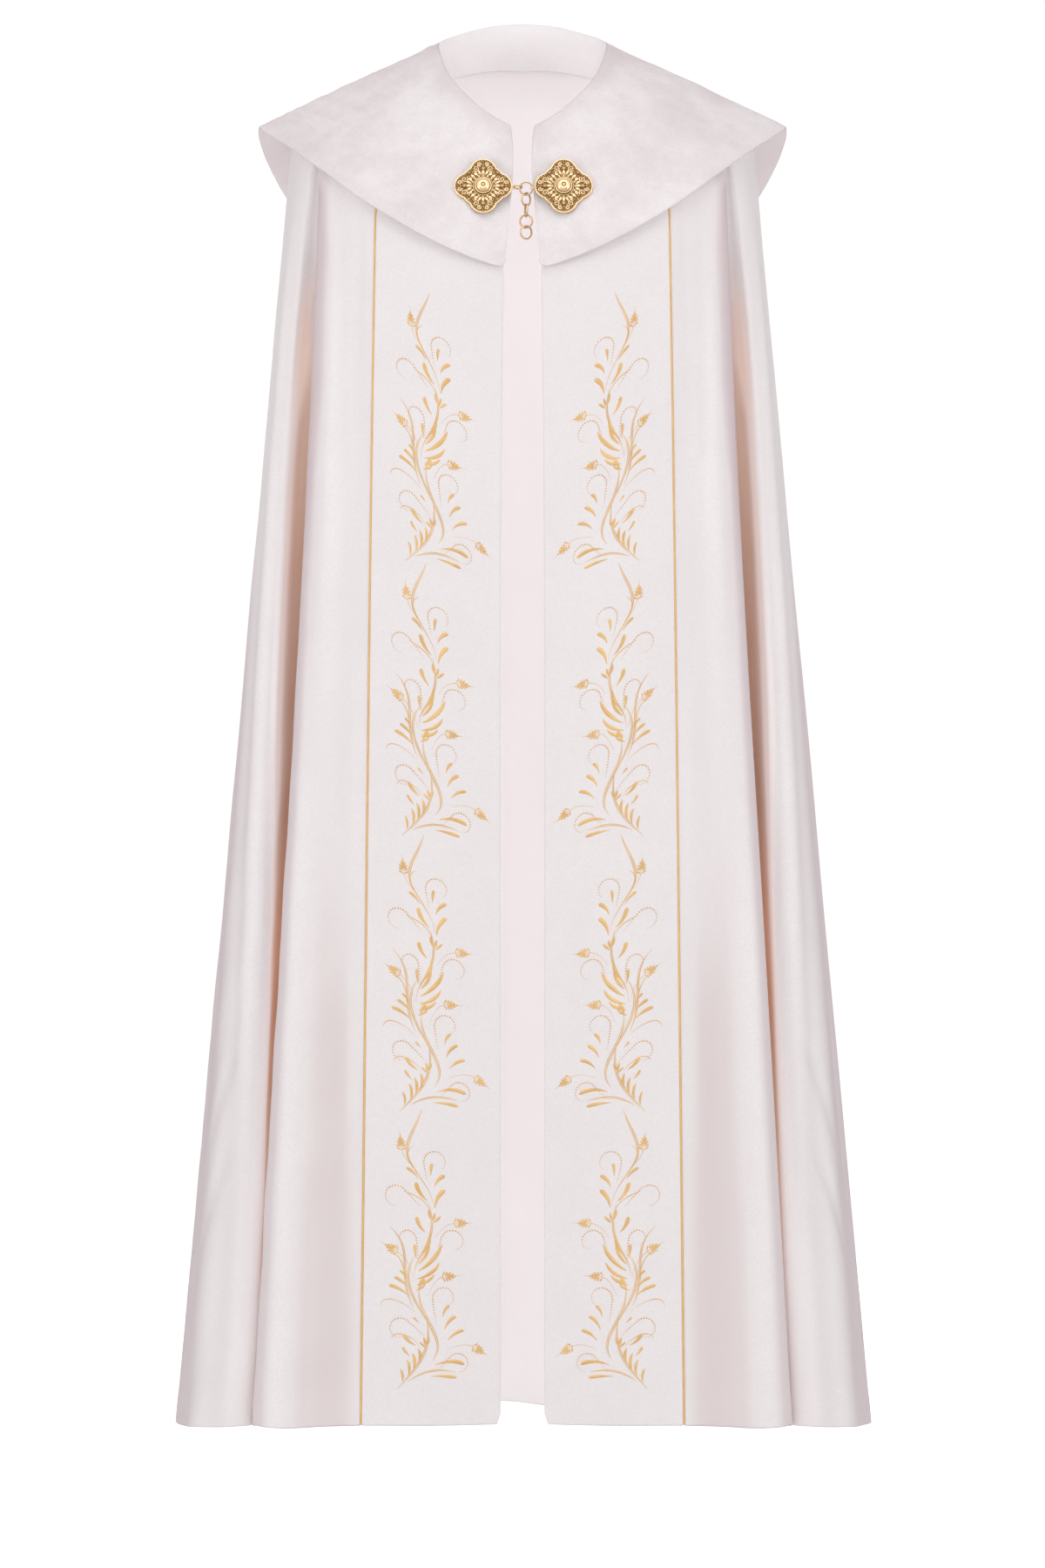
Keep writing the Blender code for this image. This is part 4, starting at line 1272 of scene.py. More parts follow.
@dataclass
class Mantle(ClothPiece):
    """The wide cloth round the sides and back, with its deep side folds and its hem."""

    section: CloakSection = None
    spacing: float = 8.2
    fewest_columns: int = 4
    smooth_over: tuple[float, float] = (-0.20, -0.12)
    seam_fade: tuple[float, float] = (1 * MM, 14 * MM)
    hem_depth: float = 24 * MM
    hem_wall: float = 0.9 * MM
    hem_step: float = 2 * MM

    def build(self) -> None:
        """Shape the cloth, crease it and make its shell."""
        section = self.section
        start, end = section.knot("piping"), section.knot("piping", Side.LEFT)
        places = section.places(start, end, self.spacing, self.fewest_columns)
        grid = section.surface(places)
        last_step = len(section.tracks) - 1
        creases = [*PANEL_CREASES, *BACK_CREASES, *mirrored_creases(PANEL_CREASES, last_step)]
        depth = crease_depths(section, places, grid, creases)
        lengths = lengths_across(grid)
        fade = 1.0 - smooth_step(grid[..., 2], *self.smooth_over)
        fade *= smooth_step(np.minimum(lengths, lengths[:, -1:] - lengths), *self.seam_fade)
        depth *= fade
        waves = CLOTH_WAVES.at(lengths, grid[..., 2]) * fade
        grid = grid + grid_normals(grid) * (depth + waves)[..., None]
        for edge, inner in ((0, 1), (-1, -2)):
            grid[:, edge] += unit(grid[:, inner] - grid[:, edge]) * SEAM
        self.grid = with_edge_rows(grid, EDGE_ROW)
        rows, columns = ([0, 0, *range(1, n - 1), -1, -1] for n in depth.shape)
        self.hollow = self.shade(depth[np.ix_(rows, columns)])
        steps = np.interp(places, section.knots, np.arange(last_step + 1.0))
        steps = np.minimum(steps, last_step - steps)[columns]
        # painted shade: darker where the rolls turn from the front, and along the side fold's lip
        edge = self.turned_away(*ROLL_EDGE_SHADE)
        edge *= 1.0 - np.clip((self.grid[..., 2] - ROLL_SHADE_TOP) / ROLL_SHADE_FADE, 0.0, 1.0)
        edge *= 1.0 - smooth_step(self.grid[..., 1], 0.0, ROLL_SHADE_BACK)
        # painted light on the fold's outer wall, and painted shade by the lip and the rolls' edges
        self.outer = {"lit": self.wall_light(steps),
                      "turned": np.maximum(self.lip_shade(steps), edge)}
        rise = self.grid[..., 2] - self.grid[-1, :, 2]
        hem = 1.0 - smooth_step(rise, self.hem_depth - self.hem_step,
                                self.hem_depth + self.hem_step)
        self.dress(["collar_cloth"], wall=self.wall + self.hem_wall * hem)

    def shade(self, depth: Array) -> Array:
        """How far in a fold each point lies, 0 to 1, and a little below nought on crests; it sets
        the painted shade in folds and the painted highlight on crests.

        Args:
            depth: How far each point was moved out by creases, in metres.

        Returns:
            Rows by columns.
        """
        inside = np.array([depth_in_outline(row[:, :2]) for row in self.grid])
        below = 1.0 - smooth_step(self.grid[..., 2], *HOLLOW_FADES)
        folded = np.maximum(inside - HOLLOW_STARTS, 0.0) * below
        folded /= straight(np.array(FULL_HOLLOW) * MM, self.grid[..., 2])
        folded *= 1.0 - BACK_LOSS * smooth_step(self.grid[..., 1], 0.0, BACK_LOSS_OVER)
        for _ in range(SOFT_HOLLOW):
            folded[:, 1:-1] = 0.5 * folded[:, 1:-1] + 0.25 * (folded[:, :-2] + folded[:, 2:])
        return np.clip(folded - np.clip(depth / CREASE_FULL, *CREASE_SHADES), *SHADES)

    def wall_light(self, steps: Array) -> Array:
        """Painted light on the outer wall of a side fold, standing in for light from the roll
        beside it.

        Args:
            steps: Each column's place, counted in tracks from the nearer front edge.

        Returns:
            Rows by columns, as a share of the strength that the satin glows with.
        """
        height = self.grid[..., 2] / MM
        fold = (steps > FOLD_STEPS[0]) & (steps < FOLD_STEPS[1])
        deepest = self.hollow[:, fold].max(axis=1, keepdims=True)
        until = straight(LIT_UNTIL, height)
        share = self.hollow / np.maximum(deepest, LEAST_HOLLOW)
        wall = smooth_step(steps, *LIT_STEPS[:2]) * (1.0 - smooth_step(steps, *LIT_STEPS[2:]))
        lit = smooth_step(self.hollow, *LIT_HOLLOW) * wall
        lit *= 1.0 - smooth_step(share, until, until + LIT_FAILS_OVER)
        return lit * straight(WALL_LIGHT, height) / EMISSION

    def lip_shade(self, steps: Array) -> Array:
        """How far each point lies in the shade along the lip of a side fold, 0 to 1.

        Args:
            steps: Each column's place, counted in tracks from the nearer front edge.

        Returns:
            Rows by columns.
        """
        height = self.grid[..., 2] / MM
        shade = smooth_step(steps, straight(LIP_SHADE_BEGINS, height), LIP_SHADE_FULL)
        shade *= 1.0 - smooth_step(steps, *LIP_SHADE_ENDS)
        return shade * straight(LIP_SHADE, height)


@dataclass
class FrontBand(ClothPiece):
    """An interlined front band, from the neck to the hem."""

    section: CloakSection = None
    side: Side = Side.RIGHT
    columns: int = 26
    smooth_over: tuple[float, float] = (-0.30, -0.20)
    seam_fade: tuple[float, float] = (1 * MM, 16 * MM)
    corner: float = 3.5 * MM

    @property
    def right(self) -> bool:
        """Whether it is the right band, whose first column is its front edge."""
        return self.side is Side.RIGHT

    def build(self) -> None:
        """Shape the band; its shell is made once its embroidery is there."""
        section = self.section
        piping = section.knot("piping", self.side)
        ends = (section.knots[0], piping) if self.right else (piping, section.knots[-1])
        grid = section.surface(np.linspace(*ends, self.columns))
        lengths = lengths_across(grid)
        if not self.right:
            lengths = lengths[:, -1:] - lengths
        seam, edge = (-1, 0) if self.right else (0, -1)
        depth = BAND_WAVES.at(lengths, grid[..., 2])
        depth *= 1.0 - smooth_step(grid[..., 2], *self.smooth_over)
        depth *= smooth_step(lengths[:, seam, None] - lengths, *self.seam_fade)
        grid = grid + grid_normals(grid) * depth[..., None]
        grid[:, seam] += unit(self.inward(grid, seam)) * SEAM
        rise = grid[:, edge, 2] - grid[-1, edge, 2]
        drop = np.clip(self.corner - rise, 0, None)
        rounded = self.corner - np.sqrt(np.clip(self.corner**2 - drop**2, 0, None))
        grid[:, edge] += unit(self.inward(grid, edge)) * rounded[:, None]
        self.grid = with_edge_rows(grid, EDGE_ROW)
        self.hollow = np.zeros(self.grid.shape[:2])

    @staticmethod
    def inward(grid: Array, column: int) -> Array:
        """From the first or the last column of a grid to the one inside it."""
        return grid[:, -2 if column else 1] - grid[:, column]

    def on_surface(self, across: Array, height: Array) -> tuple[Array, Array]:
        """Points and normals of the band's face.

        Args:
            across: Distances from the band's middle line toward its front edge, in metres.
            height: Heights in metres.

        Returns:
            Points and unit outward normals.
        """
        way = -1 if self.right else 1
        grid, normals = self.grid[:, ::way], grid_normals(self.grid)[:, ::way]
        rows = np.interp(-height, -grid[:, grid.shape[1] // 2, 2], np.arange(len(grid)))
        r = np.clip(rows.astype(int), 0, len(grid) - 2)
        lengths = lengths_across(grid)
        along = across + lengths[r, -1] / 2.0
        c = np.array([np.searchsorted(lengths[i], a) - 1 for i, a in zip(r, along)])
        c = np.clip(c, 0, grid.shape[1] - 2)
        u = ((along - lengths[r, c]) / (lengths[r, c + 1] - lengths[r, c]))[:, None]
        v = (rows - r)[:, None]
        read = [(values[r, c] * (1 - u) + values[r, c + 1] * u) * (1 - v)
                + (values[r + 1, c] * (1 - u) + values[r + 1, c + 1] * u) * v
                for values in (grid, normals)]
        normal = unit(read[1])
        return read[0] + normal * self.wall / 2.0, normal


@dataclass
class CapeCollar(ClothPiece):
    """The wide collar: one piece round the neck, pointed over each shoulder."""

    form: ShoulderForm = None
    degrees_per_column: float = 1.6
    fewest_columns: int = 4
    corner_columns: int = 2
    corner_until: float = 10.0
    rows: int = 44
    wave_fade: float = 20 * MM
    roll: tuple[float, float, float] = (0.4 * MM, 9 * MM, 9 * MM)
    dip: tuple[float, float, float] = (-0.7 * MM, 30 * MM, 14 * MM)
    deepest: float = -0.25 * MM
    edge_fade: float = 12.0
    neck_shade: tuple[float, float] = (0.10, 22 * MM)
    back_shade: tuple[float, float] = (0.10, 0.10)

    def build(self) -> None:
        """Shape the collar and make its shell."""
        bearings: list[float] = []
        for a, b in zip(COLLAR_BEARINGS[:-1], COLLAR_BEARINGS[1:]):
            even = max(self.fewest_columns, round((b - a) / self.degrees_per_column))
            count = self.corner_columns if b < self.corner_until else even
            bearings += list(np.linspace(a, b, count, endpoint=False))
        right = np.array([self.column(bearing) for bearing in bearings])
        back = self.form.point(180.0, np.linspace(0.0, 1.0, self.rows))
        left = right[::-1] * (-1.0, 1.0, 1.0)
        grid = np.concatenate((right, back[None], left)).transpose(1, 0, 2)
        lengths, down = lengths_across(grid), self.down(grid)
        depth = COLLAR_WAVES.at(lengths, down)
        clear = smooth_step(lengths, 0.0, self.wave_fade)
        clear *= smooth_step(lengths[:, -1:] - lengths, 0.0, self.wave_fade)
        rolled, dipped = (size * np.exp(-((down - at) / width)**2)
                          for size, at, width in (self.roll, self.dip))
        depth = np.maximum(depth + (rolled + dipped) * clear, self.deepest)
        depth *= 1.0 - smooth_step((down - down[-1:]) / MM, -self.edge_fade, 0.0)
        grid = grid + grid_normals(grid) * depth[..., None]
        self.grid = with_edge_rows(grid, EDGE_ROW)
        self.hollow = self.shade()
        # painted shade where the collar turns from the front, over its shoulder ridge
        self.outer = {"turned": self.turned_away(*COLLAR_EDGE_SHADE)}
        self.dress(["neck_facing_cloth"])

    @staticmethod
    def down(grid: Array) -> Array:
        """Distance down each column of a grid, from the neck."""
        return lengths_across(grid.transpose(1, 0, 2)).T

    def column(self, bearing: float) -> Array:
        """Points down one column of the right half, from the neck to the edge.

        Args:
            bearing: The column's bearing.

        Returns:
            Rows of points; the first columns end higher, so that the corner is round.
        """
        first = COLLAR_BEARINGS[0]
        from_edge = (bearing - first) * math.radians(1.0) * COLLAR_CORNER_REACH
        inside = max(0.0, COLLAR_CORNER - from_edge)
        rise = COLLAR_CORNER - math.sqrt(COLLAR_CORNER**2 - inside**2)
        ends = self.form.point(np.array((bearing, bearing)), np.array((0.0, 1.0)))
        reach = 1.0 - rise * MM / np.linalg.norm(ends[1] - ends[0])
        fade = np.clip((FRONT_EDGE_FADES_BY - bearing) / (FRONT_EDGE_FADES_BY - first), 0, 1)
        shares = np.linspace(0.0, 1.0, self.rows) * reach
        gap = smooth_through(*np.array(COLLAR_FRONT_EDGE).T, shares) * MM
        neck, edge = self.form.neck(first)[0], self.form.edge(first)[0]
        moved = (np.degrees(np.arcsin(gap / (neck + (edge - neck) * shares))) - first) * fade
        return self.form.point(bearing + moved, shares)

    def shade(self) -> Array:
        """Faint shade by the neck and toward the back part.

        Returns:
            Rows by columns.
        """
        down = self.down(self.grid)
        near_neck = self.neck_shade[0] * np.exp(-(down / self.neck_shade[1])**2)
        back = self.back_shade[0] * smooth_step(self.grid[..., 1], 0.0, self.back_shade[1])
        return np.clip(near_neck + back * (down / down[-1:]), 0.0, 1.0)


@dataclass
class NeckFacing(ClothPiece):
    """The band inside the neck, deepest at the back."""

    form: ShoulderForm = None
    columns: int = 170
    rows: int = 12
    top: float = 0.8
    seam_inset: float = 1.15 * MM
    lean_depth: float = 7 * MM
    wave: float = 0.5 * MM
    taper: float = 0.6 * MM
    # painted shade of its outer side, and of its inner side, which below nought has a painted glow
    shade: float = 0.1
    inner_shade: float = -0.66

    def build(self) -> None:
        """Shape the facing and make its shell."""
        bearings = np.linspace(FACING_FRONT_BEARING, 360.0 - FACING_FRONT_BEARING, self.columns)
        knots, *sizes = zip(*FACING)
        inset, drop = (np.interp(self.form.half_bearing(bearings), knots, size) * MM
                       for size in sizes)
        radius, height = self.form.neck(bearings).T
        angle = np.radians(bearings)
        share = np.linspace(0.0, 1.0, self.rows)[:, None]**1.4
        wave = self.wave * np.sin(5.0 * angle + 1.0)[None] * share
        lean = (inset - self.seam_inset)[None] * np.exp(-(drop * share / self.lean_depth)**2)
        radii = (radius - inset)[None] + lean - self.taper * share - np.abs(wave)
        z = height + self.top * MM - drop * share
        grid = np.stack((radii * np.sin(angle), -radii * np.cos(angle), z), axis=-1)
        self.grid = with_edge_rows(grid, self.top * MM)
        self.hollow = np.full(self.grid.shape[:2], self.shade)
        self.dress(["collar_cloth"], self.inner_shade)


@dataclass
class Piping:
    """The gold cord in the seam between a band and the mantle."""

    section: CloakSection
    side: Side
    finish: Material
    radius: float = 1.15 * MM
    proud: float = 0.45 * MM
    strands: int = 3
    sides: int = 15
    lay: float = 7.0 * MM
    step: float = 0.78 * MM
    first_row: int = 3
    groove: float = 0.26
    beside: float = 0.02

    def build(self) -> None:
        """Make the twisted cord."""
        place = self.section.knot("piping", self.side)
        near = self.section.surface(np.array((place - self.beside, place, place + self.beside)))
        near = near[self.first_row:]
        outward = unit(np.cross(np.gradient(near[:, 1], axis=0), near[:, 2] - near[:, 0]))
        line = near[:, 1] + outward * self.proud
        lengths = lengths_across(line[None])[0]
        at = np.linspace(0.0, lengths[-1], int(lengths[-1] / self.step))
        points = np.stack([np.interp(at, lengths, axis) for axis in line.T], axis=1)
        phase = full_turn(self.sides)[None] - math.tau * at[:, None] / self.lay
        bulge = np.abs(np.cos(self.strands * phase / 2.0))
        radii = self.radius * (1.0 - self.groove * (1.0 - bulge))
        pieces = Pieces()
        values = np.stack((0.25 * bulge, 0.0 * bulge), axis=-1).reshape(-1, 2)
        pieces.tube(tube_rings(points, radii, self.sides, up=(0.0, -1.0, 0.0)), values=values)
        name = f"piping_{self.side.word}"
        stand_for(pieces.make(f"{name}_cord", self.finish), name)


# --- embroidery
class Tip(Enum):
    """How a leaf ends."""

    ROUND = 4.5
    POINTED = 1.7


# One repeat of the vine.  A spot is u from the band's middle line to its front edge, v down
# from the repeat's top, and an aim in degrees from straight up, toward the front edge.
Spot = tuple[float, float, float]
# root, tip, width, and one bold line or two
STEMS = (
    ((-15, 66, -40), (-7, 0, 14), 2.9, 2), ((4, 108, 12), (-14, 40, 64), 2.3, 1),
    ((2, 112, -8), (-27, 88, -74), 2.0, 1), ((-15, 166, 28), (-2, 96, -22), 2.6, 2),
    ((-14, 182, -10), (2, 118, -4), 2.4, 1), ((0, 222, -32), (-12, 150, 36), 2.8, 2),
    ((-14, 208, -34), (-43, 124, -56), 2.6, 2), ((-17, 202, -24), (-46, 150, -88), 1.6, 1),
    ((-11, 214, -40), (-50, 208, -178), 1.6, 1), ((2, 262, 44), (-9, 182, 12), 3.2, 2),
    ((-34, 292, 42), (-3, 212, -14), 2.8, 2), ((-8, 250, -6), (-38, 240, -178), 1.6, 1),
    ((-22, 282, 56), (30, 271, 98), 2.2, 2))
# root, length, width and bow
ROUND_LEAVES = (
    ((-10, 76, -50), 18, 3.4, -0.10), ((1, 98, -36), 25, 5.0, 0.12),
    ((-2, 130, -32), 20, 4.6, 0.12), ((-12, 158, -8), 17, 3.4, 0.05), ((2, 72, 4), 15, 3.4, 0.05),
    ((5, 84, 38), 19, 4.4, 0.16), ((6, 106, 26), 25, 5.0, 0.14), ((-10, 190, 24), 15, 4.0, 0.16),
    ((-22, 178, -42), 12, 2.8, -0.08), ((-21, 187, -54), 18, 3.6, -0.10),
    ((-19, 196, -64), 25, 4.0, -0.10), ((-9, 222, -48), 9, 2.4, 0.0),
    ((15, 216, 26), 15, 3.4, 0.16), ((16, 230, 38), 21, 4.0, 0.14), ((19, 241, 54), 22, 3.8, 0.14),
    ((-11, 245, -50), 19, 4.2, 0.12), ((-18, 256, -42), 13, 3.0, 0.06),
    ((4, 266, 86), 34, 4.6, 0.14), ((0, 276, 92), 30, 3.8, 0.04))
POINTED_LEAVES = (
    ((-13, 170, 40), 42, 4.6, -0.10), ((-8, 152, 24), 22, 4.0, -0.10),
    ((-14, 177, 52), 32, 3.8, -0.14), ((-14, 183, 58), 24, 3.2, -0.12),
    ((-14, 189, 50), 15, 2.6, -0.10), ((-12, 163, 30), 26, 3.4, -0.08),
    ((3, 116, -14), 12, 3.2, 0.08), ((4, 117, 14), 10, 2.8, 0.0), ((4, 119, 46), 12, 2.8, 0.0),
    ((-2, 247, -50), 10, 2.4, 0.0), ((-2, 246, -16), 11, 2.8, 0.0), ((-1, 245, 12), 10, 2.4, 0.0),
    ((-11, 264, 0), 17, 3.4, -0.16), ((-16, 270, -4), 18, 3.4, -0.16),
    ((-21, 276, -6), 17, 3.2, -0.16), ((-27, 283, -10), 15, 2.8, -0.14))
# root, and the head's root
EARS = (
    ((-16, 64, -44), (-29, 44, -6)), ((7, 134, 26), (29, 117, 86)),
    ((-16, 176, -12), (-35, 149, -64)), ((-1, 194, 24), (17, 173, 84)),
    ((20, 248, 66), (49, 246, 122)))
# root, rise, radius of the curl and how far it curls
TENDRILS = (
    ((-1, 78, -16), 20, 13, 236), ((-8, 104, -42), 24, 13, -226), ((-11, 158, -2), 22, 10, -246),
    ((8, 152, 12), 20, 13, 230), ((8, 222, -12), 26, 12.5, 238), ((-3, 236, -46), 26, 12, -232),
    ((10, 270, 38), 18, 12, 230))
# a grain of an ear: how far on from the head's root, the way that it splays and its length
GRAINS = ((-0.4, -66, 6.0), (-0.4, 66, 6.0), (0.2, -38, 7.5), (0.2, 38, 7.5), (0.6, -14, 8.5),
          (0.6, 14, 8.5), (3.0, -24, 6.5), (3.0, 24, 6.5), (4.6, 0, 7.5))
# a leaflet of an ear: how far behind the head, the way that it splays, length, width and bow
LEAFLET = (4.6, 52, 6.6, 2.1, 0.10)
GRAIN_STANDS_ON, GRAIN_WIDTH = 0.6, 2.1
BEARD_BEGINS, BEARD_ENDS = 9.0, 19.0
# the two lines of a stem: the side of its middle, and share of its width
STEM_LINES, STEM_APART, STEM_LEAST = ((-1, 0.44), (1, 0.34)), 0.31, 0.22
LEAF_BENDS, LEAF_LEAST, FULL_LEAF_WIDTH = (200, 260), 0.12, 3.2
# how much a tendril's curl tightens, and how much the tendril turns before it
CURL_TIGHTENS, CURL_MEAN, TENDRIL_TURNS = 0.34, 0.86, 0.012
# the rings of a dot: share of its radius, and share of its height
DOT_RINGS = ((0.72, 0.62), (0.25, 1.0))


@dataclass
class VineEmbroidery:
    """The vine on a front band: raised stitching that follows the band's face."""

    band: FrontBand
    finish: Material
    repeats: int = 4
    period: float = 281.0
    top: float = -242.0
    aside: float = -1.0
    drift: float = -0.9
    lean: float = 0.9
    stem_height: float = 0.55
    leaf_height: float = 0.8
    stalk_height: float = 0.4
    dot_height: float = 0.6
    sunk: float = 0.15
    dot_gap: float = 2.9
    dot_sides: int = 8
    offset: float = 0.0
    slant: float = 0.0
    pieces: Pieces = field(default_factory=Pieces)

    def build(self) -> Object:
        """Stitch every repeat and make the mesh.

        Returns:
            The object.
        """
        leaves = [(*leaf, tip) for tip, rows in ((Tip.ROUND, ROUND_LEAVES),
                                                 (Tip.POINTED, POINTED_LEAVES)) for leaf in rows]
        for repeat in range(self.repeats):
            self.offset = repeat * self.period
            self.slant = self.aside + self.drift * repeat
            for stitch, rows in ((self.stem, STEMS), (self.leaf, leaves), (self.ear, EARS),
                                 (self.tendril, TENDRILS)):
                for row in rows:
                    stitch(*row)
        side = self.band.side.word
        obj = self.pieces.make(f"embroidery_{side}", self.finish)
        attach(obj, ROOT)
        LOG.info("%s: %d faces", obj.name, len(obj.data.polygons))
        return obj

    @staticmethod
    def aim(degrees: float) -> Array:
        """Direction u, v of an aim."""
        return np.array((math.sin(math.radians(degrees)), -math.cos(math.radians(degrees))))

    @staticmethod
    def beside(line: Array) -> Array:
        """Unit directions square to a line of points u, v."""
        tangents = unit(np.gradient(line, axis=0))
        return np.stack((-tangents[:, 1], tangents[:, 0]), axis=1)

    def curve(self, root: Spot, tip: Spot, count: int, pull: float = 1.15) -> Array:
        """Points of a smooth line that leaves its root and arrives at its tip as they aim.

        Args:
            root: Where it begins.
            tip: Where it ends.
            count: Number of points.
            pull: How strongly the ends hold their aims.

        Returns:
            Points, count by two.
        """
        start, end = np.array(root[:2], float), np.array(tip[:2], float)
        t = np.linspace(0.0, 1.0, count)[:, None]
        return between(t, pull * np.linalg.norm(end - start), start, self.aim(root[2]), end,
                       self.aim(tip[2]))

    def stroke(self, line: Array, widths: Array, height: float, sections: int = 5) -> None:
        """Stitch a raised stroke along a line of the band.

        Args:
            line: Points u, v in millimetres.
            widths: Full width at each point, in millimetres.
            height: Height at its fullest, in millimetres.
            sections: Points across it.
        """
        side = np.linspace(-1.0, 1.0, sections)
        flat = line[:, None] + self.beside(line)[:, None] * (widths[:, None, None] / 2.0
                                                             * side[None, :, None])
        full = np.clip(widths / max(widths.max(), 1e-6), 0.0, 1.0)
        lift = height * full[:, None] * np.sqrt(1.0 - side**2)[None] - self.sunk
        points, normals = self.on_band(flat.reshape(-1, 2))
        slanted = (lengths_across(line[None])[0][:, None]
                   + self.lean * widths[:, None] / 2.0 * side[None])
        values = np.stack((slanted * MM, side[None] * np.ones_like(slanted)), axis=-1)
        self.pieces.add(points + normals * (lift.reshape(-1, 1) * MM),
                        grid_faces(len(line), sections, flip=self.band.right).tolist(),
                        values.reshape(-1, 2))

    def on_band(self, flat: Array) -> tuple[Array, Array]:
        """Points and normals of the band at u, v of the current repeat, in millimetres."""
        across = (flat[:, 0] + self.slant) * MM
        return self.band.on_surface(across, (self.top - self.offset - flat[:, 1]) * MM)

    def stem(self, root: Spot, tip: Spot, width: float, lines: int) -> None:
        """Stitch a stem: one bold line, or two that close on each other at their ends.

        Args:
            root: Where it begins.
            tip: Where it ends.
            width: Full width.
            lines: One or two.
        """
        line = self.curve(root, tip, 30, 1.32)
        t = np.linspace(0.0, 1.0, len(line))
        if lines == 1:
            widths = width * (0.22 + 0.78 * np.sin(math.pi * t**1.6) ** 0.8) * 0.72
            self.stroke(line, np.where(t > 0.985, 0.15, widths), self.stem_height, 5)
            return
        swell = np.sin(math.pi * t) ** 0.75
        for way, share in STEM_LINES:
            apart = self.beside(line) * (way * STEM_APART * width * swell)[:, None]
            self.stroke(line + apart, width * share * swell + STEM_LEAST, self.stem_height, 4)

    def leaf(self, root: Spot, length: float, width: float, bow: float,
             tip: Tip = Tip.ROUND) -> None:
        """Stitch a leaf, fine at its root and full toward its tip.

        Args:
            root: Its root, and the way that it points.
            length: From root to tip.
            width: At its fullest.
            bow: How much it bends, and to which side.
            tip: How it ends.
        """
        u, v, aim = root
        end = np.array((u, v)) + length * self.aim(aim)
        line = self.curve((u, v, aim - LEAF_BENDS[0] * bow), (*end, aim + LEAF_BENDS[1] * bow),
                          15, 1.0)
        t = np.linspace(0.0, 1.0, len(line))
        swell = t**0.95 * np.clip(1.0 - t**tip.value, 0.0, 1.0) ** (2.2 / (tip.value + 0.6))
        self.stroke(line, width * swell / swell.max() + LEAF_LEAST,
                    self.leaf_height * min(1.0, width / FULL_LEAF_WIDTH), 6)

    def ear(self, root: Spot, head: Spot) -> None:
        """Stitch an ear of wheat: a stalk, two leaflets, the grains and the beard.

        Args:
            root: The stalk's root.
            head: The head's root, and the way that it points.
        """
        line = self.curve(root, head, 14)
        self.stroke(line, np.linspace(0.5, 0.95, len(line)), self.stalk_height, 4)
        forward, tip = self.aim(head[2]), line[-1]
        behind, splay, length, width, bow = LEAFLET
        for way in (-1, 1):
            self.leaf((*(tip - forward * behind), head[2] + way * splay), length, width,
                      way * bow)
        for on, splay, length in GRAINS:
            grain = (*(tip + forward * (on + GRAIN_STANDS_ON)), head[2] + splay)
            self.leaf(grain, length, GRAIN_WIDTH, 0.0, Tip.POINTED)
        beard = np.linspace(tip + forward * BEARD_BEGINS, tip + forward * BEARD_ENDS, 6)
        self.stroke(beard, np.linspace(1.0, 0.3, 6), self.stalk_height, 4)

    def tendril(self, root: Spot, rise: float, radius: float, curl: float) -> None:
        """Stitch the dots of a tendril that rises and curls over, fullest where it curls.

        Args:
            root: Where it begins.
            rise: How far it runs before it curls.
            radius: Of the curl's beginning.
            curl: How far round it goes, and to which side.
        """
        point, heading = np.array(root[:2], float), 0.0
        total = rise + radius * CURL_MEAN * math.radians(abs(curl))
        count = int(total / self.dot_gap)
        way = math.copysign(1.0, curl)
        for k in range(count):
            curling = max(0.0, k * self.dot_gap - rise) / (total - rise)
            heading += (way * self.dot_gap / (radius * (1.0 - CURL_TIGHTENS * curling))
                        if curling > 0.0 else way * TENDRIL_TURNS)
            point = point + self.dot_gap * self.aim(root[2] + math.degrees(heading))
            share = k / (count - 1)
            self.dot(point, 0.48 + 0.50 * math.sin(math.pi * share**0.9))

    def dot(self, centre: Array, radius: float) -> None:
        """Stitch one round dot.

        Args:
            centre: Its middle, u and v.
            radius: In millimetres.
        """
        rings = []
        for share, lift in ((1.0, -self.sunk),
                            *((share, high * self.dot_height) for share, high in DOT_RINGS)):
            points, normals = self.on_band(centre + radius * share * circle(self.dot_sides))
            rings.append(points + normals * lift * MM)
        flipped = self.band.right
        faces = grid_faces(3, self.dot_sides, closed=True, flip=not flipped).tolist()
        for face in [16, 17, 18, 19], [16, 19, 20, 23], [20, 21, 22, 23]:
            faces.append(face if flipped else face[::-1])
        points = np.concatenate(rings)
        self.pieces.add(points, faces, np.tile((0.55 * MM, 0.0), (len(points), 1)))


# --- clasp
LOBE_RADIUS, LOBE_REACH, CHEEK_RADIUS = 14.5, 16.0, 24.5
PLAQUE_PITCH = 19.0
PLAQUE_SEATS = {Side.LEFT: (-41.0, -131.598, -128.0), Side.RIGHT: (43.0, -131.844, -128.0)}
RING_RADIUS, RING_WIRE, RING_PLAY = 6.7, 0.8, 0.4
SHOWN_RING_WIRE, SHOWN_LINK_WIRE = 0.95, 0.78
RING_TOP = (3.8, -132.869, -130.22)
RING_TWISTS = (0.0, 50.0, 100.0, 165.0, 212.0)
LINK_MIDDLE = (-4.878, -132.869, -128.62)
LINK_HALF_HEIGHT, LINK_HALF_LENGTH, LINK_TILT = 2.7, 4.244, 54.0
EYE_RADIUS, EYE_WIRE, EYE_STANDS_OFF, EYE_DROP, EYE_HEIGHT = 2.2, 0.65, 1.1, 1.0, 1.0
HOOK_WIRE, HOOK_PLAY, HOOK_TURNS = 0.6, 0.7, (110, 135, 160, 180, 200, 225, 250)
HOOK_ROOT = (3.0 - LOBE_REACH - LOBE_RADIUS, -2.6, 0.9)

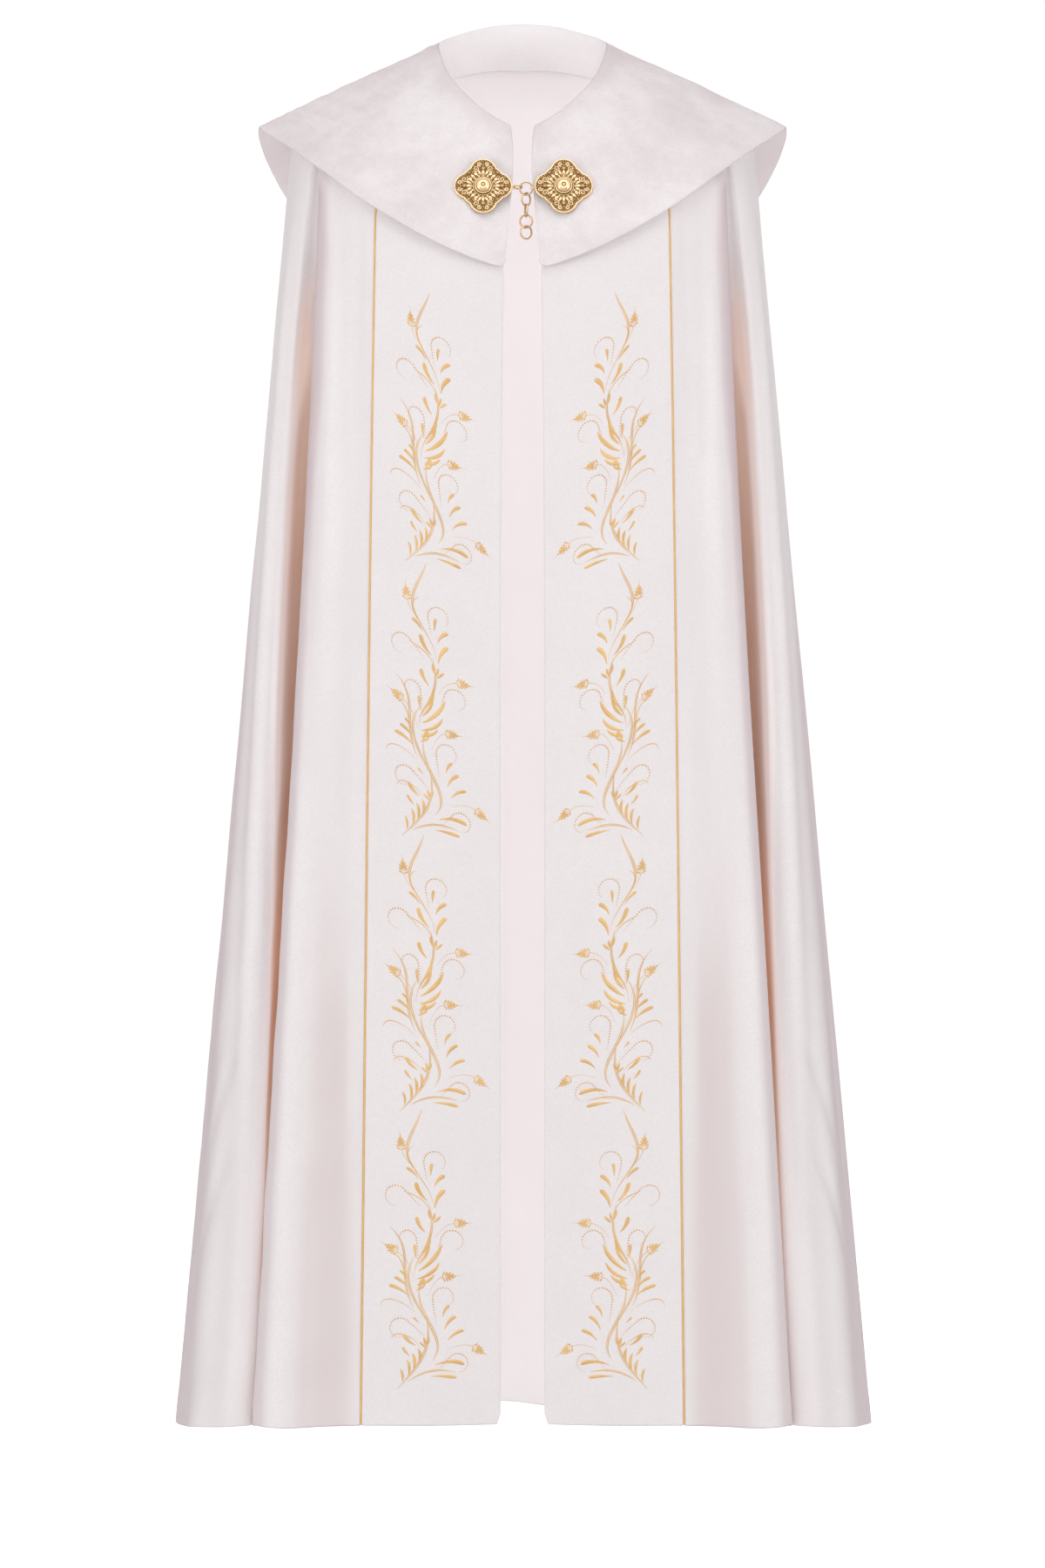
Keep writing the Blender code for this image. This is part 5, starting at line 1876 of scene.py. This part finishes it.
# The plate's rows and the boss's: what scales the outline, height and how bright it is.
PLATE = ((1.0, 0.0, 0.6), (1.0, 0.95, 0.8), (0.988, 1.2, 0.5), (0.9, 1.2, 0.0),
         (0.6, 1.2, 0.0), (0.3, 1.2, 0.0))
BOSS_SEAT = ((8.2, 0.9, 0.3), (8.2, 2.15, 0.3), (7.4, 2.25, 0.3))
BOSS = ((8.6, 0.0, 0.2), (9.0, 0.25, 0.7), (9.0, 0.7, 1.0), (8.6, 1.1, 1.0), (8.0, 1.15, 0.6),
        (7.6, 0.9, 0.1), (7.3, 1.0, 0.2), (7.2, 1.6, 0.7), (6.6, 2.6, 1.0), (5.6, 3.5, 1.0),
        (4.4, 4.15, 1.0), (3.4, 4.4, 1.0), (2.7, 4.3, 0.8), (2.2, 3.8, 0.3), (1.9, 3.55, 0.1),
        (1.7, 3.6, 0.2), (1.5, 4.0, 0.8), (1.1, 4.5, 1.0), (0.55, 4.8, 1.0), (0.12, 4.88, 1.0))
# The relief of one lobe, and of the junction between two.  Each row begins with its distance
# out from the plaque's middle and aside; it is there on both sides unless it is in the middle.
# scroll: then its turn from facing inward, its size and the way that it winds
# petal: then its turn from facing outward, its length, width and height
# grain: then its radius
LOBE_SCROLLS = ((19.4, 7.6, -50.0, 3.5, 1.0), (24.4, 3.6, 20.0, 2.5, -1.0))
LOBE_PETALS = ((11.4, 1.6, 31.0, 8.6, 3.6, 2.0), (11.2, 4.6, 50.0, 6.0, 2.8, 1.4))
LOBE_GRAINS = ((14.4, 10.6, 0.8), (25.6, 7.8, 0.8), (22.6, 10.2, 0.8), (21.4, 3.0, 0.8))
LOBE_MIDDLE_PETALS = ((11.2, 0.0, 0.0, 8.4, 4.4, 2.4),)
LOBE_MIDDLE_GRAINS = ((19.8, 0.0, 2.1), (23.6, 0.0, 1.2), (26.3, 0.0, 0.8))
JUNCTION_BEADS, JUNCTION_LEAVES = ((21.2, 0.0, 1.5),), ((11.6, 0.0, 0.0, 7.6, 4.2, 1.9),)
JUNCTION_GRAINS, JUNCTION_SCROLLS = ((18.6, 3.0, 0.9),), ((15.2, 4.4, 0.0, 1.8, 1.0),)
ROSETTE_PETALS, ROSETTE_PETAL = 16, ((10.4, 0.0, 0.0, 3.4, 2.4, 0.9),)


def circle(count: int) -> Array:
    """Points of a circle of radius one, count by two."""
    turns = full_turn(count)
    return np.stack((np.cos(turns), np.sin(turns)), axis=1)


def quatrefoil(count: int, inset: float = 0.0) -> Array:
    """Edge of four lobes on a round body.

    Args:
        count: Number of points.
        inset: How far it is moved in, in millimetres.

    Returns:
        Points, count by two, in millimetres.
    """
    angles = full_turn(count)
    off_lobe = (angles + math.pi / 4) % (math.pi / 2) - math.pi / 4
    across = LOBE_REACH * np.sin(off_lobe)
    lobe = LOBE_REACH * np.cos(off_lobe)
    lobe += np.sqrt(np.clip((LOBE_RADIUS - inset)**2 - across**2, 0, None))
    return circle(count) * np.maximum(lobe, CHEEK_RADIUS - inset)[:, None]


@dataclass
class Plaque:
    """A quatrefoil plaque of the clasp: rims, scrolls, grains and petals round a boss."""

    side: Side
    finish: Material
    base: float = 1.2
    rim_wire: float = 0.8
    bead_line: float = 2.45
    bead: float = 0.72
    beads: int = 84
    collar_radius: float = 10.2
    scroll_turns: float = 1.458
    scroll_wire: float = 0.58
    scroll_eye: float = 0.75
    pieces: Pieces = field(default_factory=Pieces)

    @property
    def frame(self) -> Matrix:
        """World matrix: +X across, +Y up and +Z out of its face."""
        turn = Matrix.Rotation(math.radians(90.0 - PLAQUE_PITCH), 4, "X")
        return Matrix.Translation(Vector(PLAQUE_SEATS[self.side]) * MM) @ turn

    def build(self) -> None:
        """Make the whole plaque."""
        self.pieces.profile(quatrefoil(144), PLATE)
        self.wire(quatrefoil(168, self.rim_wire), self.rim_wire, self.base + 0.40, True, 8, 1.1)
        for x, y in quatrefoil(self.beads, self.bead_line):
            self.grain(x, y, self.bead)
        for quarter in range(4):
            self.lobe(quarter * 90.0)
            self.junction(quarter * 90.0 + 45.0)
        self.rosette()
        if self.side is Side.LEFT:
            self.eye()
        else:
            self.hook()
        name = f"clasp_plaque_{self.side.word}"
        obj = self.pieces.make(f"{name}_relief", self.finish, "relief")
        obj.matrix_world = self.frame
        stand_for(obj, name)

    def wire(self, line: Array, radius: float | Array, height: float, closed: bool = False,
             sides: int = 6, bright: float = 1.0) -> None:
        """Lay a wire on the plate, darker where it meets the plate.

        Args:
            line: Points x, y of its middle.
            radius: Its radius, for all or for each point.
            height: Height of its middle.
            closed: Whether it joins up.
            sides: Points round it.
            bright: How bright it is on top.
        """
        points = np.column_stack((line, np.full(len(line), height)))
        rings = tube_rings(points * MM, np.asarray(radius) * MM, sides, closed, (0, 0, 1))
        rise = rings[..., 2] - rings[..., 2].min()
        share = rise / max(rise.max(), 1e-9)
        values = np.stack((bright * (0.35 + 0.65 * share), 0 * share), axis=-1).reshape(-1, 2)
        self.pieces.tube(rings, closed, values)

    def grain(self, x: float, y: float, radius: float) -> None:
        """Add a round grain that sits on the plate."""
        centre = np.array((x, y, self.base + radius * 0.45)) * MM
        self.pieces.bead(centre, radius * MM, 0.95)

    def petal(self, x: float, y: float, aim: float, length: float, width: float,
              height: float) -> None:
        """Add a pointed, ridged petal.

        Args:
            x: Its root across the plate.
            y: Its root up the plate.
            aim: The way that it points.
            length: From root to point.
            width: At its widest.
            height: At its highest.
        """
        turn = math.radians(aim)
        along = np.array((math.cos(turn), math.sin(turn)))
        across = np.array((-along[1], along[0]))
        t = np.linspace(0.0, 1.0, 9)
        s = np.linspace(-1.0, 1.0, 7)
        widths = width * np.sin(math.pi * np.clip(t * 0.94 + 0.03, 0, 1) ** 0.8)
        flat = (np.array((x, y)) + along * length * t[:, None, None]
                + across * (widths[:, None, None] / 2 * s[None, :, None]))
        crown = height * np.sin(math.pi * np.clip(t, 0.06, 0.94))[:, None] * (1 - s**2)[None]
        groove = 0.18 * height * np.exp(-(s / 0.18)**2)[None] * np.ones((len(t), 1))
        z = self.base - 0.1 + crown - groove
        points = np.concatenate((flat, z[..., None]), axis=-1).reshape(-1, 3) * MM
        share = ((crown - groove) / height).reshape(-1)
        values = np.stack((0.25 + 0.85 * share, share), axis=1)
        self.pieces.add(points, grid_faces(len(t), len(s), flip=True).tolist(), values)

    def scroll(self, x: float, y: float, aim: float, size: float, way: float) -> None:
        """Add a wire scroll: a C that winds in on itself, with a grain at its eye.

        Args:
            x: Its eye across the plate.
            y: Its eye up the plate.
            aim: Where its open end lies.
            size: Radius there.
            way: The way that it winds, -1 or 1.
        """
        turn = np.linspace(0.0, 1.0, 26)
        angle = math.radians(aim) + way * (turn * self.scroll_turns * math.tau)
        radius = size * (1.0 - 0.80 * turn)
        line = np.stack((x + radius * np.cos(angle), y + radius * np.sin(angle)), axis=1)
        self.wire(line, self.scroll_wire * (1.15 - 0.40 * turn), self.base + 0.34)
        self.grain(x, y, self.scroll_eye)

    def place(self, aim: float, out: float, aside: float) -> tuple[float, float]:
        """Plate position from a direction, a distance out and one aside."""
        turn = math.radians(aim)
        return (out * math.cos(turn) - aside * math.sin(turn),
                out * math.sin(turn) + aside * math.cos(turn))

    def lay(self, aim: float, way: float, scrolls: Sequence = (), petals: Sequence = (),
            grains: Sequence = ()) -> None:
        """Lay rows of the relief's tables.

        Args:
            aim: The direction that they lie in.
            way: The side of it, -1 or 1.
            scrolls: Rows of scrolls.
            petals: Rows of petals.
            grains: Rows of grains.
        """
        for out, aside, turn, size, wind in scrolls:
            self.scroll(*self.place(aim, out, way * aside), aim + 180.0 + way * turn, size,
                        way * wind)
        for out, aside, turn, *size in petals:
            self.petal(*self.place(aim, out, way * aside), aim + way * turn, *size)
        for out, aside, radius in grains:
            self.grain(*self.place(aim, out, way * aside), radius)

    def lobe(self, aim: float) -> None:
        """Scrolls, a fan of petals round a bold bead, and grains.

        Args:
            aim: The direction of the lobe.
        """
        for way in (-1.0, 1.0):
            self.lay(aim, way, LOBE_SCROLLS, LOBE_PETALS, LOBE_GRAINS)
        self.lay(aim, 1.0, (), LOBE_MIDDLE_PETALS, LOBE_MIDDLE_GRAINS)

    def junction(self, aim: float) -> None:
        """A bead, a leaf and two wire loops.

        Args:
            aim: The direction of the place between two lobes.
        """
        self.lay(aim, 1.0, grains=JUNCTION_BEADS)
        self.lay(aim, 1.0, petals=JUNCTION_LEAVES)
        for way in (-1.0, 1.0):
            self.lay(aim, way, grains=JUNCTION_GRAINS)
            self.lay(aim, way, JUNCTION_SCROLLS)

    def rosette(self) -> None:
        """The dark recess round the boss, its collar wire and short petals."""
        self.wire(circle(72) * self.collar_radius, 0.42, self.base + 0.1, True)
        for k in range(ROSETTE_PETALS):
            self.lay(360.0 * k / ROSETTE_PETALS, 1.0, petals=ROSETTE_PETAL)
        self.pieces.profile(circle(72), BOSS_SEAT)

    def in_world(self, point: Sequence[float]) -> Array:
        """A point of the plaque, in millimetres, carried into the world."""
        return np.array(self.frame @ (Vector(point) * MM))

    def eye(self) -> None:
        """The eye that the link hangs in, on the left plaque's edge."""
        reach = LOBE_REACH + LOBE_RADIUS
        centre = self.in_world((reach + EYE_STANDS_OFF, -EYE_DROP, EYE_HEIGHT))
        ring = np.insert(circle(28), 1, 0.0, axis=1) * EYE_RADIUS * MM
        self.add_world_tube(ring + centre, EYE_WIRE, True)

    def hook(self) -> None:
        """The hook that holds the first ring, on the right plaque's edge."""
        x, y, z = np.array(RING_TOP) * MM
        behind = (RING_WIRE + HOOK_WIRE + HOOK_PLAY) * MM
        inside = x + (RING_RADIUS - RING_WIRE - HOOK_WIRE - HOOK_PLAY) * MM + behind
        edge = self.in_world(HOOK_ROOT)
        turns = np.radians(HOOK_TURNS)
        bend = zip(inside + behind * np.cos(turns), y + behind * np.sin(turns))
        line = [(edge[0], edge[1]), (inside, y + behind), *bend, (inside + MM, y - behind)]
        self.add_world_tube(np.array([(*point, z) for point in line]), HOOK_WIRE, False)

    def add_world_tube(self, line: Array, radius: float, closed: bool) -> None:
        """Add a wire given in world points, carried into the plaque's own frame.

        Args:
            line: World points in metres.
            radius: In millimetres.
            closed: Whether it joins up.
        """
        rings = tube_rings(line, radius * MM, 10, closed)
        inverse = np.array(self.frame.inverted())
        local = rings @ inverse[:3, :3].T + inverse[:3, 3]
        self.pieces.tube(local, closed, np.full((rings.shape[0] * 10, 2), 0.85))


@dataclass
class Boss:
    """The turned boss at a plaque's middle: a rim, a dome and a bead in a dimple."""

    plaque: Plaque
    segments: int = 56
    seat: float = 2.3 * MM

    def build(self) -> None:
        """Turn the profile."""
        pieces = Pieces()
        pieces.profile(circle(self.segments), BOSS)
        name = f"clasp_boss_{self.plaque.side.word}"
        obj = pieces.make(f"{name}_turned", self.plaque.finish, "relief")
        obj.matrix_world = self.plaque.frame @ Matrix.Translation((0.0, 0.0, self.seat))
        stand_for(obj, name)


@dataclass
class ClaspChain:
    """The link, the ring on the hook and the four rings that hang from it."""

    finish: Material
    segments: int = 56
    sides: int = 12

    def wire(self, flat: Array, turn: Matrix, centre: Sequence[float], radius: float,
             node: str, body: str = ROOT) -> None:
        """Make a closed wire that stands for a node.

        Args:
            flat: Points x, z of its middle before it is turned, in millimetres.
            turn: How it is turned.
            centre: Where its middle is, in millimetres.
            radius: The wire's radius in millimetres.
            node: The node that it replaces.
            body: The body that it rides on.
        """
        line = (np.insert(flat, 1, 0.0, axis=1) @ np.array(turn).T + centre) * MM
        rings = tube_rings(line, radius * MM, self.sides, True)
        bright = np.broadcast_to(0.75 + 0.25 * np.cos(full_turn(self.sides)), rings.shape[:2])
        pieces = Pieces()
        pieces.tube(rings, True, np.stack((bright, bright), axis=-1).reshape(-1, 2))
        stand_for(pieces.make(f"{node}_wire", self.finish, "relief"), node, body)

    def build(self) -> None:
        """Make the link and the rings."""
        turns = full_turn(self.segments, 0.5)
        round_wire = np.stack((np.cos(turns), np.sin(turns)), axis=1)
        oval = round_wire * LINK_HALF_HEIGHT
        oval[:, 0] += (LINK_HALF_LENGTH - LINK_HALF_HEIGHT) * np.sign(np.cos(turns))
        self.wire(oval, Matrix.Rotation(math.radians(LINK_TILT), 3, "X"), LINK_MIDDLE,
                  SHOWN_LINK_WIRE, "clasp_link")
        pitch = 2.0 * (RING_RADIUS - RING_WIRE) - RING_PLAY
        for number, twist in enumerate(RING_TWISTS, start=1):
            centre = np.array(RING_TOP) - (0.0, 0.0, pitch * (number - 1))
            self.wire(round_wire * RING_RADIUS, Matrix.Rotation(math.radians(twist), 3, "Z"),
                      centre, SHOWN_RING_WIRE, f"clasp_ring_{number}",
                      ROOT if number == 1 else f"ring_{number}")


# --- studio
class Light(NamedTuple):
    """A square soft light."""

    name: str
    place: tuple[float, float, float]
    target: tuple[float, float, float]
    size: float
    power: float
    colour: Colour


SIDE_COLOUR, SIDE_TARGET = (1.0, 0.985, 0.985), (0.0, 0.0, -0.7)
LIGHTS = (
    Light("key_light", (-0.5, -6.2, 0.9), (0.0, 0.0, -0.55), 3.2, 38.0, (1.0, 0.995, 0.99)),
    Light("left_light", (-5.4, -3.4, 0.2), SIDE_TARGET, 2.6, 92.0, SIDE_COLOUR),
    Light("right_light", (5.4, -3.4, 0.2), SIDE_TARGET, 2.6, 92.0, SIDE_COLOUR),
    Light("back_light", (0.0, 6.4, 0.8), SIDE_TARGET, 4.0, 60.0, SIDE_COLOUR),
    Light("top_light", (0.0, -2.2, 3.4), (0.0, 0.0, -0.2), 2.4, 40.0, (1.0, 1.0, 1.0)),
)


@dataclass(frozen=True)
class Studio:
    """A wide pale floor in white surroundings, soft light and the camera."""

    camera_distance: float = 8.2
    camera_height: float = -0.7506
    frame_height: float = 1.62
    plane_distance: float = 8.0
    film: float = 36.0
    floor: float = -1.66
    floor_reach: float = 14.0
    floor_glow: float = 0.6
    air: Colour = (1.0, 0.965, 0.972)
    sky: float = 0.47
    seen_sky: float = 1.06
    mirrored_low: float = 0.12
    mirrored_high: float = 1.25

    def build(self) -> None:
        """Set up the stage, the lights and the camera."""
        self.stage()
        for light in LIGHTS:
            self.light(light)
        self.world()
        self.camera()
        bpy.context.scene.view_settings.view_transform = "Standard"

    def stage(self) -> None:
        """A wide pale floor."""
        reach = self.floor_reach
        points = [(x, y, self.floor) for y in (-reach, reach) for x in (-reach, reach)]
        made, bench, shader = new_material("studio_paper")
        grain = bench.node("TexNoise", {"Scale": 6.0}).outputs["Fac"]
        tone = bench.mix(bench.ramp(grain, 0.3, 0.7), (0.93, 0.93, 0.93), (0.90, 0.90, 0.90))
        seen = bench.node("LightPath").outputs["Is Camera Ray"]
        bench.feed(shader, {"Base Color": tone, "Roughness": 0.9,
                            "Emission Color": bench.mix(seen, BLACK, (1.0, 1.0, 1.0)),
                            "Emission Strength": self.floor_glow})
        new_object("studio_stage", np.array(points), grid_faces(2, 2).tolist(), made,
                            {})

    def light(self, light: Light) -> None:
        """Hang a soft light, turned to its target.

        Args:
            light: The light.
        """
        data = bpy.data.lights.new(light.name, "AREA")
        data.size, data.energy, data.color = light.size, light.power, light.colour
        obj = link(light.name, data)
        obj.location = light.place
        aim = Vector(light.target) - Vector(light.place)
        obj.rotation_euler = aim.to_track_quat("-Z", "Y").to_euler()

    def world(self) -> None:
        """White surroundings: even on cloth, brighter overhead where metal mirrors them."""
        world = bpy.data.worlds.new("studio_air")
        world.use_nodes = True
        bench = NodeBench(world.node_tree)
        aim = bench.node("TexCoord").outputs["Generated"]
        up = bench.node("SeparateXYZ", {0: aim}).outputs["Z"]
        mirrored = bench.ramp(up, -0.25, 0.55, self.mirrored_low, self.mirrored_high)
        path = bench.node("LightPath").outputs
        more = bench.math("MULTIPLY", bench.math("SUBTRACT", mirrored, self.sky),
                          path["Is Glossy Ray"])
        seen = bench.math("MULTIPLY", path["Is Camera Ray"], self.seen_sky - self.sky)
        total = bench.math("ADD", bench.math("ADD", more, seen), self.sky)
        bench.feed(world.node_tree.nodes["Background"], {"Color": (*self.air, 1.0),
                                                         "Strength": total})
        bpy.context.scene.world = world

    def camera(self) -> None:
        """A level camera in front, its long side upright."""
        data = bpy.data.cameras.new("front_camera")
        data.sensor_width = self.film
        data.lens = data.sensor_width * self.plane_distance / self.frame_height
        obj = link("front_camera", data)
        obj.location = (0.0, -self.camera_distance, self.camera_height)
        obj.rotation_euler = (math.radians(90.0), 0.0, 0.0)
        bpy.context.scene.camera = obj


def main() -> None:
    """Build the studio, the cloth, the embroidery, the cord and the clasp."""
    logging.basicConfig(level=logging.INFO, format="%(name)s: %(message)s")
    Studio().build()
    effects = SharedEffects()
    made = {finish.name: finish.make(effects) for finish in FINISHES}
    form = ShoulderForm()
    section = CloakSection(form)
    NeckFacing("neck_facing_cloth", "neck_facing", 1.2 * MM, made["facing_satin"],
               (0.56, 0.06), 0.022, form=form).build()
    CapeCollar("collar_cloth", "collar", 2.0 * MM, made["collar_satin"], (0.95, 0.62), 0.25,
               form=form).build()
    Mantle("mantle_cloth", "mantle", 1.5 * MM, made["mantle_satin"], (3.0, 1.52), 2.27,
           section=section).build()
    for side in Side:
        node = f"front_band_{side.word}"
        band = FrontBand(f"{node}_cloth", node, 2.0 * MM, made["band_satin"], (0.15, 1.50), 0.19,
                         section=section, side=side)
        band.build()
        vine = VineEmbroidery(band, made["gold_embroidery"]).build()
        band.dress(["collar_cloth"], with_pieces=[vine])
        Piping(section, side, made["gold_cord"]).build()
        plaque = Plaque(side, made["gilt_metal"])
        plaque.build()
        Boss(plaque).build()
    ClaspChain(made["chain_metal"]).build()


if __name__ == "__main__":
    main()
